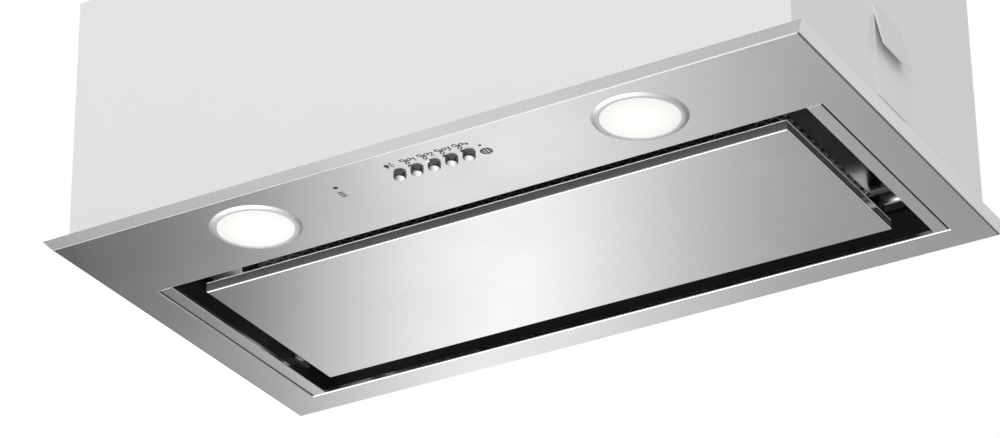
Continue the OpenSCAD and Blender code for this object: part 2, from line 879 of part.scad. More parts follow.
module cable_gland() {
    reach = 14;
    cap_r = gland_r + 3;
    color("#1c1c1c") translate([-half_w, gland_y, gland_z]) difference() {
        union() {
            rod_x(gland_r, -reach, housing_t + 6);
            rod_x(cap_r, -4, 0);
        }
        rod_x(gland_bore_r, -reach - over, housing_t + 6 + over);
    }
}

module led_driver() {
    back = half_d - housing_t;
    color("white") box([driver_x - driver_w / 2, back - driver_d, driver_z],
        [driver_x + driver_w / 2, back, driver_z + driver_h]);
}

module capacitor() {
    wall_y = capacitor_r + capacitor_stand_off;
    strap_z = (capacitor_h - strap_h) / 2;
    color("whitesmoke") translate([capacitor_x, half_d - housing_t - wall_y, capacitor_z]) {
        rod_z(capacitor_r, 0, capacitor_h);
        box([-strap_w / 2, capacitor_r / 2, strap_z], [strap_w / 2, wall_y, strap_z + strap_h]);
    }
}

// Leads from the driver to the lamps, clipped along the housing's walls
module lamp_leads() {
    cup_top = plate_top + cup_h;
    color("black") for (side = [-1, 1]) {
        end_x = driver_x + side * driver_w / 4;
        wire([[lamp_place(side), lamp_y, cup_top], [lamp_place(side), lamp_y, lead_z],
            [side * lead_x, lamp_y, lead_z], [side * lead_x, lead_back, lead_z],
            [end_x, lead_back, lead_z], [end_x, lead_back, driver_z]], lamp_lead_r);
    }
}

// Lead from the motor along the lid to the terminal box
module motor_lead() {
    start_z = axis_z + motor_r - 10;
    turn_x = motor_x - 30;
    end_x = (terminal_lo.x + terminal_hi.x) / 2;
    end_y = (terminal_lo.y + terminal_hi.y) / 2;
    high_z = housing_h - motor_lead_r - part_gap;
    color("black") wire([[motor_x, axis_y, start_z], [turn_x, axis_y, start_z], [turn_x, axis_y, high_z],
        [turn_x, end_y, high_z], [end_x, end_y, high_z], [end_x, end_y, terminal_hi.z]], motor_lead_r);
}

// Blower

// Radius of the spiral casing at an angle measured from the back over the top
function scroll_radius(a) = cutoff_r + (outlet_r - cutoff_r) * (a - tongue_angle) / (360 - tongue_angle);

// Outline of the spiral with its outlet, grown by a wall
function scroll_outline(grow, top) = let (
        start = acos((tongue_y - grow) / (cutoff_r + grow)),
        steps = 40)
    concat(
        [[tongue_y - grow, top]],
        [for (k = [0 : steps]) let (a = start + (360 - start) * k / steps)
            (scroll_radius(max(a, tongue_angle)) + grow) * [cos(a), sin(a)]],
        [[outlet_r + grow, top]]);

// Half of the casing, on the +X side
module scroll_shell() {
    inner = scroll_half - scroll_wall;
    lip_r = inlet_r + scroll_wall;
    mouth_h = 5;
    translate([0, axis_y, axis_z]) difference() {
        union() {
            rotate([90, 0, 90]) linear_extrude(scroll_half) polygon(scroll_outline(scroll_wall, scroll_top));
            box([0, tongue_y - scroll_wall - scroll_flange, scroll_top - scroll_wall],
                [scroll_half + scroll_flange, outlet_r + scroll_wall + scroll_flange, scroll_top]);
        }
        difference() {
            rotate([90, 0, 90]) translate([0, 0, -over]) linear_extrude(inner + over)
                polygon(scroll_outline(0, scroll_top + over));
            rod_x(lip_r, inner - mouth_h, inner + over);
        }
        rod_x(inlet_r, inner - mouth_h - over, scroll_half + over);
        for (sy = [-1, 1]) translate([blower_screw_x, outlet_mid - axis_y + sy * blower_screw_y, 0])
            rod_z(screw_r + 0.15, scroll_top - scroll_wall - over, scroll_top + over);
    }
}

module scroll(side) {
    color("#3a3c3e") on_side(side) scroll_shell();
}

module blower_screws() {
    head_z = housing_h - seal_t - scroll_wall;
    color("gray") for (p = blower_screw_places) translate([p.x, p.y, head_z]) {
        rod_z(screw_r, 0, lid_top - head_z);
        rod_z(screw_head_r, -screw_head_h, 0);
    }
}

module impeller() {
    hub_r = shaft_r + 5;
    web = 2;
    inner_r = impeller_r - blade_depth;
    color("#4a4c4e") translate([0, axis_y, axis_z]) difference() {
        union() {
            rod_x(impeller_r, -web / 2, web / 2);
            rod_x(hub_r, -8, 12);
            for (side = [-1, 1]) on_side(side) {
                for (k = [0 : blade_count - 1]) rotate([k * 360 / blade_count, 0, 0])
                    rotate([90, 0, 90]) linear_extrude(wheel_w)
                        polygon([[inner_r, 0], [inner_r + 4, 1], [impeller_r - 1, 4],
                            [impeller_r - 2, 4.8], [inner_r + 3.4, 2], [inner_r, 1.2]]);
                difference() {
                    rod_x(impeller_r, wheel_w - 2, wheel_w);
                    rod_x(inner_r + 4, wheel_w - 2 - over, wheel_w + over);
                }
            }
        }
        rod_x(shaft_r + press_fit, -8 - over, 12 + over);
    }
}

module motor() {
    bearing_r = 11;
    color("darkgray") translate([0, axis_y, axis_z]) difference() {
        union() {
            rod_x(motor_r, motor_x, motor_x + motor_l);
            rod_x(bearing_r, motor_x - 4, motor_x);
        }
        rod_x(shaft_r + running_fit, motor_x - 4 - over, motor_x + motor_l + over);
    }
}

module motor_shaft() {
    color("silver") translate([0, axis_y, axis_z]) rod_x(shaft_r, motor_x - 3, 14);
}

// Three-armed bracket that carries the motor on the casing's side
module motor_bracket() {
    outer = -scroll_half - bush_t;
    inner = outer - bracket_plate_t;
    hoop_r = motor_r + 4;
    arm_half = 7;
    color("lightgray") translate([0, axis_y, axis_z]) difference() {
        union() {
            rod_x(hoop_r, inner, outer);
            for (a = bush_angles) rotate([a, 0, 0]) {
                box([inner, 0, -arm_half], [outer, bush_pitch_r, arm_half]);
                translate([0, bush_pitch_r, 0]) rod_x(arm_half, inner, outer);
            }
        }
        rod_x(motor_r + press_fit, inner - over, outer + over);
        for (a = bush_angles) rotate([a, 0, 0]) translate([0, bush_pitch_r, 0])
            rod_x(bush_pin_r, inner - over, outer + over);
    }
}

module motor_bushes() {
    outer = -scroll_half - bush_t - bracket_plate_t;
    color("#1a1a1a") translate([0, axis_y, axis_z]) for (a = bush_angles) rotate([a, 0, 0])
        translate([0, bush_pitch_r, 0]) {
            rod_x(bush_r, -scroll_half - bush_t, -scroll_half);
            rod_x(bush_pin_r - press_fit, outer - over, -scroll_half - bush_t);
            rod_x(bush_r - 1, outer - bush_t, outer);
        }
}

module outlet_seal() {
    edge = scroll_wall + scroll_flange;
    color("#1a1a1a") difference() {
        box([-outlet_half - edge, axis_y + tongue_y - edge, housing_h - seal_t],
            [outlet_half + edge, axis_y + outlet_r + edge, housing_h]);
        box([-outlet_half, axis_y + tongue_y, housing_h - seal_t - over],
            [outlet_half, axis_y + outlet_r, housing_h + over]);
        for (p = blower_screw_places)
            translate([p.x, p.y, 0]) rod_z(screw_r + 0.15, housing_h - seal_t - over, housing_h + over);
    }
}

// Duct outlet

module duct_collar() {
    stop_z = flap_z - part_gap;
    color("#2c2e30") translate([0, outlet_mid, 0]) difference() {
        union() {
            rod_z(collar_r, lid_top, collar_top);
            rod_z(collar_flange_r, lid_top, lid_top + collar_flange_t);
        }
        rod_z(stop_r, lid_top - over, collar_top + over);
        rod_z(collar_bore_r, stop_z, collar_top + over);
        rod_z(collar_bore_r, lid_top - over, stop_z - 2);
        for (a = [45 : 90 : 315]) rotate([0, 0, a]) translate([collar_screw_r, 0, 0])
            rod_z(screw_r + 0.15, lid_top - over, lid_top + collar_flange_t + over);
        translate([0, 0, damper_z]) rod_y(damper_pin_r + press_fit, -collar_r - over, collar_r + over);
    }
}

// Half of the back-draught damper, on the +X side, with the first knuckle at the given end
module damper_flap(end) {
    slot = knuckle_r + 0.5;
    knuckles = [[-knuckle_end, -knuckle_far], [-knuckle_near, -knuckle_mid],
        [knuckle_mid, knuckle_near], [knuckle_far, knuckle_end]];
    mine = [for (k = [0 : 3]) if (k % 2 == end) knuckles[k]];
    other = [for (k = [0 : 3]) if (k % 2 != end) knuckles[k]];
    last = mine[1][1] > knuckle_far;
    past = knuckle_end + knuckle_gap;
    difference() {
        union() {
            difference() {
                rod_z(flap_r, flap_z, flap_z + flap_t);
                box([-flap_r - over, -flap_r - over, flap_z - over], [0.4, flap_r + over, damper_z + over]);
                for (k = other)
                    box([-over, k[0] - knuckle_gap, flap_z - over],
                        [slot, k[1] + knuckle_gap, damper_z + over]);
                box([-over, last ? past : -flap_r - over, flap_z - over],
                    [slot, last ? flap_r + over : -past, damper_z + over]);
            }
            for (k = mine) translate([0, 0, damper_z]) rod_y(knuckle_r, k[0], k[1]);
        }
        translate([0, 0, damper_z]) rod_y(damper_pin_r + running_fit, -collar_r, collar_r);
    }
}

module flap_left() {
    color("#3c3e40") translate([0, outlet_mid, 0]) mirror([1, 0, 0]) damper_flap(0);
}

module flap_right() {
    color("#3c3e40") translate([0, outlet_mid, 0]) damper_flap(1);
}

module damper_pin() {
    color("silver") translate([0, outlet_mid, damper_z]) rod_y(damper_pin_r, -collar_r + 0.5, collar_r - 0.5);
}

face_plate();
side_trim(-1);  // side_trim_left
side_trim(1);  // side_trim_right
face_brackets();
face_screws();
rim_seal();
lamp_bezel(-1);  // lamp_bezel_left
lamp_bezel(1);  // lamp_bezel_right
lamp_lens(-1);  // lamp_lens_left
lamp_lens(1);  // lamp_lens_right
lamp_board(-1);  // lamp_board_left
lamp_board(1);  // lamp_board_right
lamp_cup(-1);  // lamp_cup_left
lamp_cup(1);  // lamp_cup_right
button(0);  // button_light
button(1);  // button_fan_1
button(2);  // button_fan_2
button(3);  // button_fan_3
button(4);  // button_boost
button_springs();
button_carrier();
indicator_lights();
switch_board();
control_cover();
control_screws();
intake_frame();
hinge_brackets();
hinge_pins();
panel_catches();
perimeter_panel();
panel_frame();
filter_frame();
filter_mesh();
filter_latch();
latch_spring();
housing_shell();
housing_lid();
lid_screws();
cabinet_clips();
terminal_box();
terminal_lid();
cable_gland();
led_driver();
capacitor();
lamp_leads();
motor_lead();
scroll(-1);  // scroll_left
scroll(1);  // scroll_right
blower_screws();
impeller();
motor();
motor_shaft();
motor_bracket();
motor_bushes();
outlet_seal();
duct_collar();
flap_left();
flap_right();
damper_pin();
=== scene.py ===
"""Looks of a built-in range hood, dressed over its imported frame.

Lengths are in metres. X runs along the width, -Y is the front with the push buttons and +Z is up,
so the face that the cook sees looks down.
"""

import json
import logging
import math
from abc import ABC, abstractmethod
from collections.abc import Iterable, Mapping, Sequence
from dataclasses import dataclass, field, fields
from enum import Enum
from typing import Any

import bmesh
import bpy
from bpy.types import Material, Mesh, Node, NodeSocket, Object, ShaderNodeTree
from mathutils import Matrix, Vector

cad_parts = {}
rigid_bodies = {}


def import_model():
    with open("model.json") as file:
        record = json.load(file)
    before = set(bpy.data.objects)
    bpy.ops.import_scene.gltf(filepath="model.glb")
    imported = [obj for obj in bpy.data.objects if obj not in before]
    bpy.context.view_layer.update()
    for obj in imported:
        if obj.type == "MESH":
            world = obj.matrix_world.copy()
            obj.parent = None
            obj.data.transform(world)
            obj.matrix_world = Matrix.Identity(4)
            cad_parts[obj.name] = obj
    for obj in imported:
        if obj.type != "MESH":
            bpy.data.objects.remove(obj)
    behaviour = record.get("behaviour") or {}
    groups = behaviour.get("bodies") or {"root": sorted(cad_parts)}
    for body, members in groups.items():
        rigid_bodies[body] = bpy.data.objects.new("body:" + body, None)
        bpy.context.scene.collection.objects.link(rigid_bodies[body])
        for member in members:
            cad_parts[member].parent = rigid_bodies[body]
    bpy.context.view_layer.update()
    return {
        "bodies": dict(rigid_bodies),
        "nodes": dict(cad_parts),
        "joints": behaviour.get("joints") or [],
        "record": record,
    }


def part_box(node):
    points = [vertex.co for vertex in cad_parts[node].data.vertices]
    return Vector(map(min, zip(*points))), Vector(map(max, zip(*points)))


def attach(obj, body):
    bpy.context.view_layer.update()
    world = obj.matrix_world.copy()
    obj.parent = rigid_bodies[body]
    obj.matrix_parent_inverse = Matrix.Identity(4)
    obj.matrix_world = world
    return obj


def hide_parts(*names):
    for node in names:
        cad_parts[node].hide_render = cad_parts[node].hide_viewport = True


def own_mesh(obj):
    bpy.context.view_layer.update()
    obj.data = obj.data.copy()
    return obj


LOG = logging.getLogger("range_hood")
MM = 0.001
FLOAT, VECTOR = "NodeSocketFloat", "NodeSocketVector"
UP, DOWN = Vector((0, 0, 1)), Vector((0, 0, -1))
FRONT, BACK = Vector((0, -1, 0)), Vector((0, 1, 0))
LEFT, RIGHT = Vector((-1, 0, 0)), Vector((1, 0, 0))
BUTTONS = ("button_light", "button_fan_1", "button_fan_2", "button_fan_3", "button_boost")
Colour = tuple[float, float, float]
Place = tuple[float, float, float]
Point = tuple[float, float]
Inputs = Mapping[str | int, Any]


class Side(Enum):
    """Left or right of the hood, seen from the front."""

    LEFT = -1
    RIGHT = 1

    @property
    def word(self) -> str:
        """Gives the word that ends the names of this side's nodes."""
        return self.name.lower()


class Glyph(Enum):
    """Printed signs of the buttons, from left to right."""

    BULB = "bulb"
    LOW = "1"
    MEDIUM = "2"
    HIGH = "3"
    BOOST = "plus"


def opaque(colour: Iterable[float], share: float = 1.0) -> tuple[float, ...]:
    """Gives a colour with full alpha, made darker or lighter by a share."""
    return (*(min(1.0, channel * share) for channel in colour), 1.0)


class NodeTree:
    """Places and joins shader nodes in one tree."""

    def __init__(self, tree: ShaderNodeTree) -> None:
        """Keeps the tree that the nodes go into."""
        self.tree = tree

    def add(self, kind: str, inputs: Inputs | None = None, **settings: Any) -> Node:
        """Adds a node.

        Args:
            kind: Blender's name for the node.
            inputs: What its sockets get.
            settings: Properties of the node.

        Returns:
            The new node.
        """
        node = self.tree.nodes.new(kind)
        for name, value in settings.items():
            setattr(node, name, value)
        self.feed(node, inputs or {})
        return node

    def feed(self, node: Node, inputs: Inputs) -> None:
        """Fills the sockets of a node.

        Args:
            node: The node.
            inputs: For each socket a value, or the socket that it is joined to.
        """
        for name, value in inputs.items():
            if isinstance(value, NodeSocket):
                self.tree.links.new(value, node.inputs[name])
            else:
                node.inputs[name].default_value = value

    def group(self, tree: ShaderNodeTree, inputs: Inputs | None = None) -> Any:
        """Places a shared group and gives its outputs."""
        return self.add("ShaderNodeGroup", inputs, node_tree=tree).outputs

    def span(self, value: NodeSocket, **ends: Any) -> NodeSocket:
        """Maps a value to another range, by its From_Min, From_Max, To_Min and To_Max."""
        inputs = {name.replace("_", " "): end for name, end in ends.items()}
        return self.add("ShaderNodeMapRange", {"Value": value, **inputs}).outputs["Result"]

    def calc(self, operation: str, *values: NodeSocket) -> NodeSocket:
        """Does one sum with the values of sockets and gives its result."""
        node = self.add("ShaderNodeMath", dict(enumerate(values)), operation=operation)
        return node.outputs["Value"]

    def blend(self, mask: NodeSocket, first: Any, second: Any) -> NodeSocket:
        """Mixes two colours or their sockets, the second as far as the mask tells."""
        inputs = {"Factor": mask, "A": first, "B": second}
        return self.add("ShaderNodeMix", inputs, data_type="RGBA").outputs["Result"]


def shading(material: Material) -> tuple[NodeTree, Node]:
    """Gives a material's tree and its Principled shader."""
    material.use_nodes = True
    return NodeTree(material.node_tree), material.node_tree.nodes["Principled BSDF"]


class Effects:
    """Shader groups that several finishes share, each made once."""

    def __init__(self) -> None:
        """Builds every group."""
        self.grain = self._grain()
        self.cloud = self._cloud()
        self.pebble = self._pebble()
        self.lean = self._lean()

    @staticmethod
    def _group(
        name: str, inputs: Mapping[str, float], outputs: Mapping[str, str]
    ) -> tuple[NodeTree, Any, Node]:
        """Starts a group with named sockets.

        Args:
            name: The group's name.
            inputs: Each input's name and default value.
            outputs: Each output's name and socket type.

        Returns:
            The tree, the sockets that it is given, and its output node.
        """
        tree = bpy.data.node_groups.new(name, "ShaderNodeTree")
        for label, value in inputs.items():
            socket = tree.interface.new_socket(label, in_out="INPUT", socket_type=FLOAT)
            socket.default_value = value
        for label, kind in outputs.items():
            tree.interface.new_socket(label, in_out="OUTPUT", socket_type=kind)
        kit = NodeTree(tree)
        return kit, kit.add("NodeGroupInput").outputs, kit.add("NodeGroupOutput")

    @staticmethod
    def _relief(
        kit: NodeTree, noise: Node, depth: NodeSocket, height: float, made: Node
    ) -> ShaderNodeTree:
        """Ends a group with a noise as its mask and as the relief of its normal.

        Args:
            kit: The group's tree.
            noise: The noise.
            depth: The socket of the relief's strength.
            height: The relief's full height.
            made: The group's output node.

        Returns:
            The group.
        """
        mask = noise.outputs["Fac"]
        bump = kit.add("ShaderNodeBump", {"Height": mask, "Strength": depth, "Distance": height})
        kit.feed(made, {"Mask": mask, "Normal": bump.outputs["Normal"]})
        return kit.tree

    def _grain(self) -> ShaderNodeTree:
        """Makes the fine lines of a brushed sheet.

        Returns:
            The group, with a mask and a normal.
        """
        kit, given, made = self._group(
            "Brushed grain",
            {"Along": 12.0, "Across": 900.0, "Depth": 0.1},
            {"Mask": FLOAT, "Normal": VECTOR},
        )
        place = kit.add("ShaderNodeTexCoord").outputs["Object"]
        scales = {"X": given["Along"], "Y": given["Across"], "Z": given["Across"]}
        scale = kit.add("ShaderNodeCombineXYZ", scales).outputs["Vector"]
        drawn = kit.add("ShaderNodeVectorMath", {0: place, 1: scale}, operation="MULTIPLY")
        lines = {"Vector": drawn.outputs["Vector"], "Scale": 1.0, "Detail": 3.0}
        noise = kit.add("ShaderNodeTexNoise", lines)
        return self._relief(kit, noise, given["Depth"], 0.02 * MM, made)

    def _cloud(self) -> ShaderNodeTree:
        """Makes a slow drift between two values.

        Returns:
            The group, with the value.
        """
        kit, given, made = self._group(
            "Cloud", {"Scale": 9.0, "Low": 0.0, "High": 1.0}, {"Value": FLOAT}
        )
        place = kit.add("ShaderNodeTexCoord").outputs["Object"]
        puffs = {"Vector": place, "Scale": given["Scale"], "Detail": 2.0}
        noise = kit.add("ShaderNodeTexNoise", puffs).outputs["Fac"]
        ends = {"To_Min": given["Low"], "To_Max": given["High"]}
        kit.feed(made, {"Value": kit.span(noise, From_Min=0.3, From_Max=0.7, **ends)})
        return kit.tree

    def _pebble(self) -> ShaderNodeTree:
        """Makes the pebbled skin of a moulded or cast surface.

        Returns:
            The group, with a mask and a normal.
        """
        kit, given, made = self._group(
            "Moulded skin", {"Scale": 1400.0, "Depth": 0.2}, {"Mask": FLOAT, "Normal": VECTOR}
        )
        place = kit.add("ShaderNodeTexCoord").outputs["Object"]
        pebbles = {"Vector": place, "Scale": given["Scale"], "Detail": 4.0}
        noise = kit.add("ShaderNodeTexNoise", pebbles)
        return self._relief(kit, noise, given["Depth"], 0.05 * MM, made)

    def _lean(self) -> ShaderNodeTree:
        """Tells how far a surface leans from level.

        Returns:
            The group. Its Value runs from 0 where the normal's height is Level to 1 where it is
            Steep. Its Front is the same, but halved on faces that look to a side.
        """
        kit, given, made = self._group(
            "Lean", {"Level": 0.25, "Steep": 0.05}, {"Value": FLOAT, "Front": FLOAT}
        )
        normal = kit.add("ShaderNodeTexCoord").outputs["Normal"]
        split = kit.add("ShaderNodeSeparateXYZ", {"Vector": normal}).outputs
        upright, fore = kit.calc("ABSOLUTE", split["Z"]), kit.calc("ABSOLUTE", split["Y"])
        steep = kit.span(upright, From_Min=given["Level"], From_Max=given["Steep"])
        front = kit.calc("MULTIPLY", steep, kit.span(fore, To_Min=0.5))
        kit.feed(made, {"Value": steep, "Front": front})
        return kit.tree


@dataclass(frozen=True)
class Finish(ABC):
    """What every finish has: name, slot in the record, colour, roughness and its slow drift."""

    name: str
    slot: str
    colour: Colour
    roughness: float
    drift: float = 0.03
    patch: float = 9.0

    @abstractmethod
    def build(self, effects: Effects) -> Material:
        """Makes the material from the shared groups."""

    def start(self) -> tuple[Material, NodeTree, Node]:
        """Makes the material with its plain shader.

        Returns:
            The material, its tree and its Principled shader.
        """
        material = bpy.data.materials.new(self.name)
        kit, shader = shading(material)
        kit.feed(shader, {"Base Color": opaque(self.colour), "Roughness": self.roughness})
        return material, kit, shader

    def gloss(self, kit: NodeTree, effects: Effects) -> NodeSocket:
        """Gives a roughness that drifts slowly over the surface."""
        low, high = self.roughness - self.drift, self.roughness + self.drift
        return kit.group(effects.cloud, {"Scale": self.patch, "Low": low, "High": high})["Value"]

    def tone(self, kit: NodeTree, mask: NodeSocket, contrast: float) -> NodeSocket:
        """Gives a colour that a mask turns darker and lighter by the contrast."""
        dark, light = opaque(self.colour, 1.0 - contrast), opaque(self.colour, 1.0 + contrast)
        return kit.blend(mask, dark, light)


@dataclass(frozen=True)
class SheetMetal(Finish):
    """A rolled metal with fine lines along X and a slow drift in its gloss."""

    along: float = 12.0
    across: float = 900.0
    depth: float = 0.1
    contrast: float = 0.04

    def build(self, effects: Effects) -> Material:
        """Makes the material from the shared groups.

        Args:
            effects: The groups that the materials share.

        Returns:
            The material.
        """
        material, kit, shader = self.start()
        lines = {"Along": self.along, "Across": self.across, "Depth": self.depth}
        grain = kit.group(effects.grain, lines)
        kit.feed(shader, {
            "Metallic": 1.0,
            "Normal": grain["Normal"],
            "Roughness": self.gloss(kit, effects),
            "Base Color": self.tone(kit, grain["Mask"], self.contrast),
        })
        return material


@dataclass(frozen=True)
class FoldedSheet(SheetMetal):
    """A polished sheet with painted light on its walls: upright faces are made less metallic, the
    front one most, so that their pale colour lifts them.
    """

    # How far the walls are made less metallic, the front one most; this paints light on them.
    dull: float = 0.31

    def build(self, effects: Effects) -> Material:
        """Makes the sheet's material and paints light on its upright walls by making them less
        metallic.

        Args:
            effects: The groups that the materials share.

        Returns:
            The material.
        """
        material = super().build(effects)
        kit, shader = shading(material)
        # Painted light: less metallic on upright faces, most on those that face the front.
        front = kit.group(effects.lean)["Front"]
        kit.feed(shader, {"Metallic": kit.span(front, To_Min=1.0, To_Max=1.0 - self.dull)})
        return material


@dataclass(frozen=True)
class ChromeWithPaintedShade(SheetMetal):
    """A plated metal with painted shade: its rounded rim is coloured near black and its barrel
    grey, so only its end keeps the bright plated colour.
    """

    # The next two colours are painted shade, given to the rounded rim and to the barrel in place of
    # their reflections.
    side: Colour = (0.05, 0.05, 0.055)
    barrel: Colour = (0.24, 0.24, 0.25)
    level: float = 0.985
    steep: float = 0.93
    upright: float = 0.12

    def build(self, effects: Effects) -> Material:
        """Makes the plated material, with painted shade that darkens its rounded rim and greys its
        barrel.

        Args:
            effects: The groups that the materials share.

        Returns:
            The material.
        """
        material = super().build(effects)
        kit, shader = shading(material)
        bright = shader.inputs["Base Color"].links[0].from_socket
        # Painted shade: the rim colour and the barrel colour darken the rounded rim and the upright
        # barrel.
        rim = kit.group(effects.lean, {"Level": self.level, "Steep": self.steep})["Value"]
        wall = kit.group(effects.lean, {"Level": self.upright, "Steep": self.upright / 4})["Value"]
        rounded = kit.blend(rim, bright, opaque(self.side))
        kit.feed(shader, {"Base Color": kit.blend(wall, rounded, opaque(self.barrel))})
        return material


@dataclass(frozen=True)
class Moulded(Finish):
    """Plastic, rubber or paint with a pebbled skin."""

    drift: float = 0.05
    patch: float = 24.0
    scale: float = 1400.0
    depth: float = 0.2
    contrast: float = 0.08

    def build(self, effects: Effects) -> Material:
        """Makes the material from the shared groups.

        Args:
            effects: The groups that the materials share.

        Returns:
            The material.
        """
        material, kit, shader = self.start()
        skin = kit.group(effects.pebble, {"Scale": self.scale, "Depth": self.depth})
        kit.feed(shader, {
            "Normal": skin["Normal"],
            "Roughness": self.gloss(kit, effects),
            "Base Color": self.tone(kit, skin["Mask"], self.contrast),
        })
        return material


@dataclass(frozen=True)
class Glowing(Finish):
    """Frosted plastic lit from behind, with painted shade that makes its colour and glow a little
    dimmer where its crown leans to the rim.
    """

    drift: float = 0.04
    patch: float = 30.0
    glow: float = 0.5
    # rim is the share of colour and glow that the painted shade at the edge leaves.
    rim: float = 0.9
    brink: float = 0.9955

    def build(self, effects: Effects) -> Material:
        """Makes the material with a faint cloud in its frosting.

        Args:
            effects: The groups that the materials share.

        Returns:
            The material.
        """
        material, kit, shader = self.start()
        # Painted shade: colour and glow darken where the crown's normal tilts towards the rim.
        edge = kit.group(effects.lean, {"Level": 1.0, "Steep": self.brink})["Value"]
        colour = kit.blend(edge, opaque(self.colour), opaque(self.colour, self.rim))
        kit.feed(shader, {
            "Roughness": self.gloss(kit, effects),
            "Base Color": colour,
            "Emission Color": colour,
            "Emission Strength": self.glow,
        })
        return material


STEEL: Colour = (0.8, 0.795, 0.785)


@dataclass(frozen=True)
class FinishBook:
    """Every finish of the hood."""

    stainless: Finish = SheetMetal("Brushed stainless sheet", "stainless", STEEL, 0.185)
    panel: Finish = FoldedSheet("Polished panel sheet", "stainless", STEEL, 0.11, depth=0.05)
    ring: Finish = SheetMetal(
        "Satin lamp ring", "ring_metal", (0.8, 0.8, 0.8), 0.44, along=60.0, across=60.0
    )
    chrome: Finish = ChromeWithPaintedShade(
        "Chromed button", "chrome", (0.82, 0.82, 0.83), 0.08, depth=0.02, drift=0.02
    )
    zinc: Finish = SheetMetal(
        "Zinc plated steel", "zinc_steel", (0.55, 0.56, 0.58), 0.34, along=300.0
    )
    spring: Finish = SheetMetal(
        "Blued spring steel", "zinc_steel", (0.13, 0.13, 0.14), 0.4, along=300.0
    )
    aluminium: Finish = SheetMetal(
        "Mill aluminium", "aluminium", (0.72, 0.72, 0.73), 0.22, across=500.0
    )
    mesh: Finish = SheetMetal(
        "Expanded aluminium mesh", "aluminium", (0.6, 0.6, 0.61), 0.36, along=300.0
    )
    # Painted shade: the dark grey of the pack stands for the shade inside the filter.
    pack: Finish = SheetMetal(
        "Shaded inner mesh", "aluminium", (0.3, 0.3, 0.31), 0.5, along=300.0
    )
    # Painted shade: the near black of the crosses stands for the shade inside the screws' recesses.
    recess: Finish = SheetMetal(
        "Driven screw recess", "zinc_steel", (0.1, 0.1, 0.105), 0.5, along=300.0
    )
    coat: Finish = Moulded(
        "White powder coat", "powder_coat", (0.88, 0.88, 0.87), 0.38,
        scale=420.0, depth=0.12, contrast=0.012,
    )
    black: Finish = Moulded("Black moulded plastic", "black_plastic", (0.014, 0.014, 0.015), 0.38)
    casing: Finish = Moulded("Grey blower plastic", "black_plastic", (0.03, 0.031, 0.033), 0.5)
    white: Finish = Moulded("White moulded plastic", "white_plastic", (0.78, 0.78, 0.76), 0.4)
    board: Finish = Moulded("Solder mask", "circuit_board", (0.02, 0.11, 0.05), 0.3, scale=500.0)
    rubber: Finish = Moulded(
        "Soft rubber", "rubber", (0.014, 0.014, 0.014), 0.75, scale=700.0, depth=0.35
    )
    ink: Finish = Moulded(
        "Printed ink", "black_plastic", (0.018, 0.018, 0.019), 0.5, scale=3000.0
    )
    lens: Finish = Glowing("Frosted lens", "lens_white", (0.9, 0.897, 0.878), 0.3, glow=0.28)
    clear: Finish = Moulded(
        "Dark light pipe", "white_plastic", (0.05, 0.05, 0.05), 0.12, depth=0.05
    )
    lit: Finish = Glowing(
        "Lit light pipe", "white_plastic", (0.9, 0.92, 0.95), 0.2, glow=0.4, rim=0.95
    )


BOOK = FinishBook()


@dataclass(frozen=True)
class Fold:
    """The folds of a sheet that lie in one level plane, along given lines."""

    width: float
    level: float
    lines_x: tuple[float, ...] = ()
    lines_y: tuple[float, ...] = ()
    near: float = 0.02 * MM

    def _along(self, start: float, end: float, lines: Iterable[float]) -> bool:
        """Tells whether both ends of an edge lie on one of some lines."""
        return any(abs(start - line) < self.near and abs(end - line) < self.near for line in lines)

    def mark(self, mesh: Mesh) -> None:
        """Gives the edges on the folds their weight.

        Args:
            mesh: The folded piece's mesh.
        """
        layer = mesh.attributes.new("bevel_weight_edge", "FLOAT", "EDGE")
        for edge in mesh.edges:
            start, end = (mesh.vertices[i].co for i in edge.vertices)
            on_x = self._along(start.x, end.x, self.lines_x)
            on_y = self._along(start.y, end.y, self.lines_y)
            if self._along(start.z, end.z, (self.level,)) and (on_x or on_y):
                layer.data[edge.index].value = 1.0


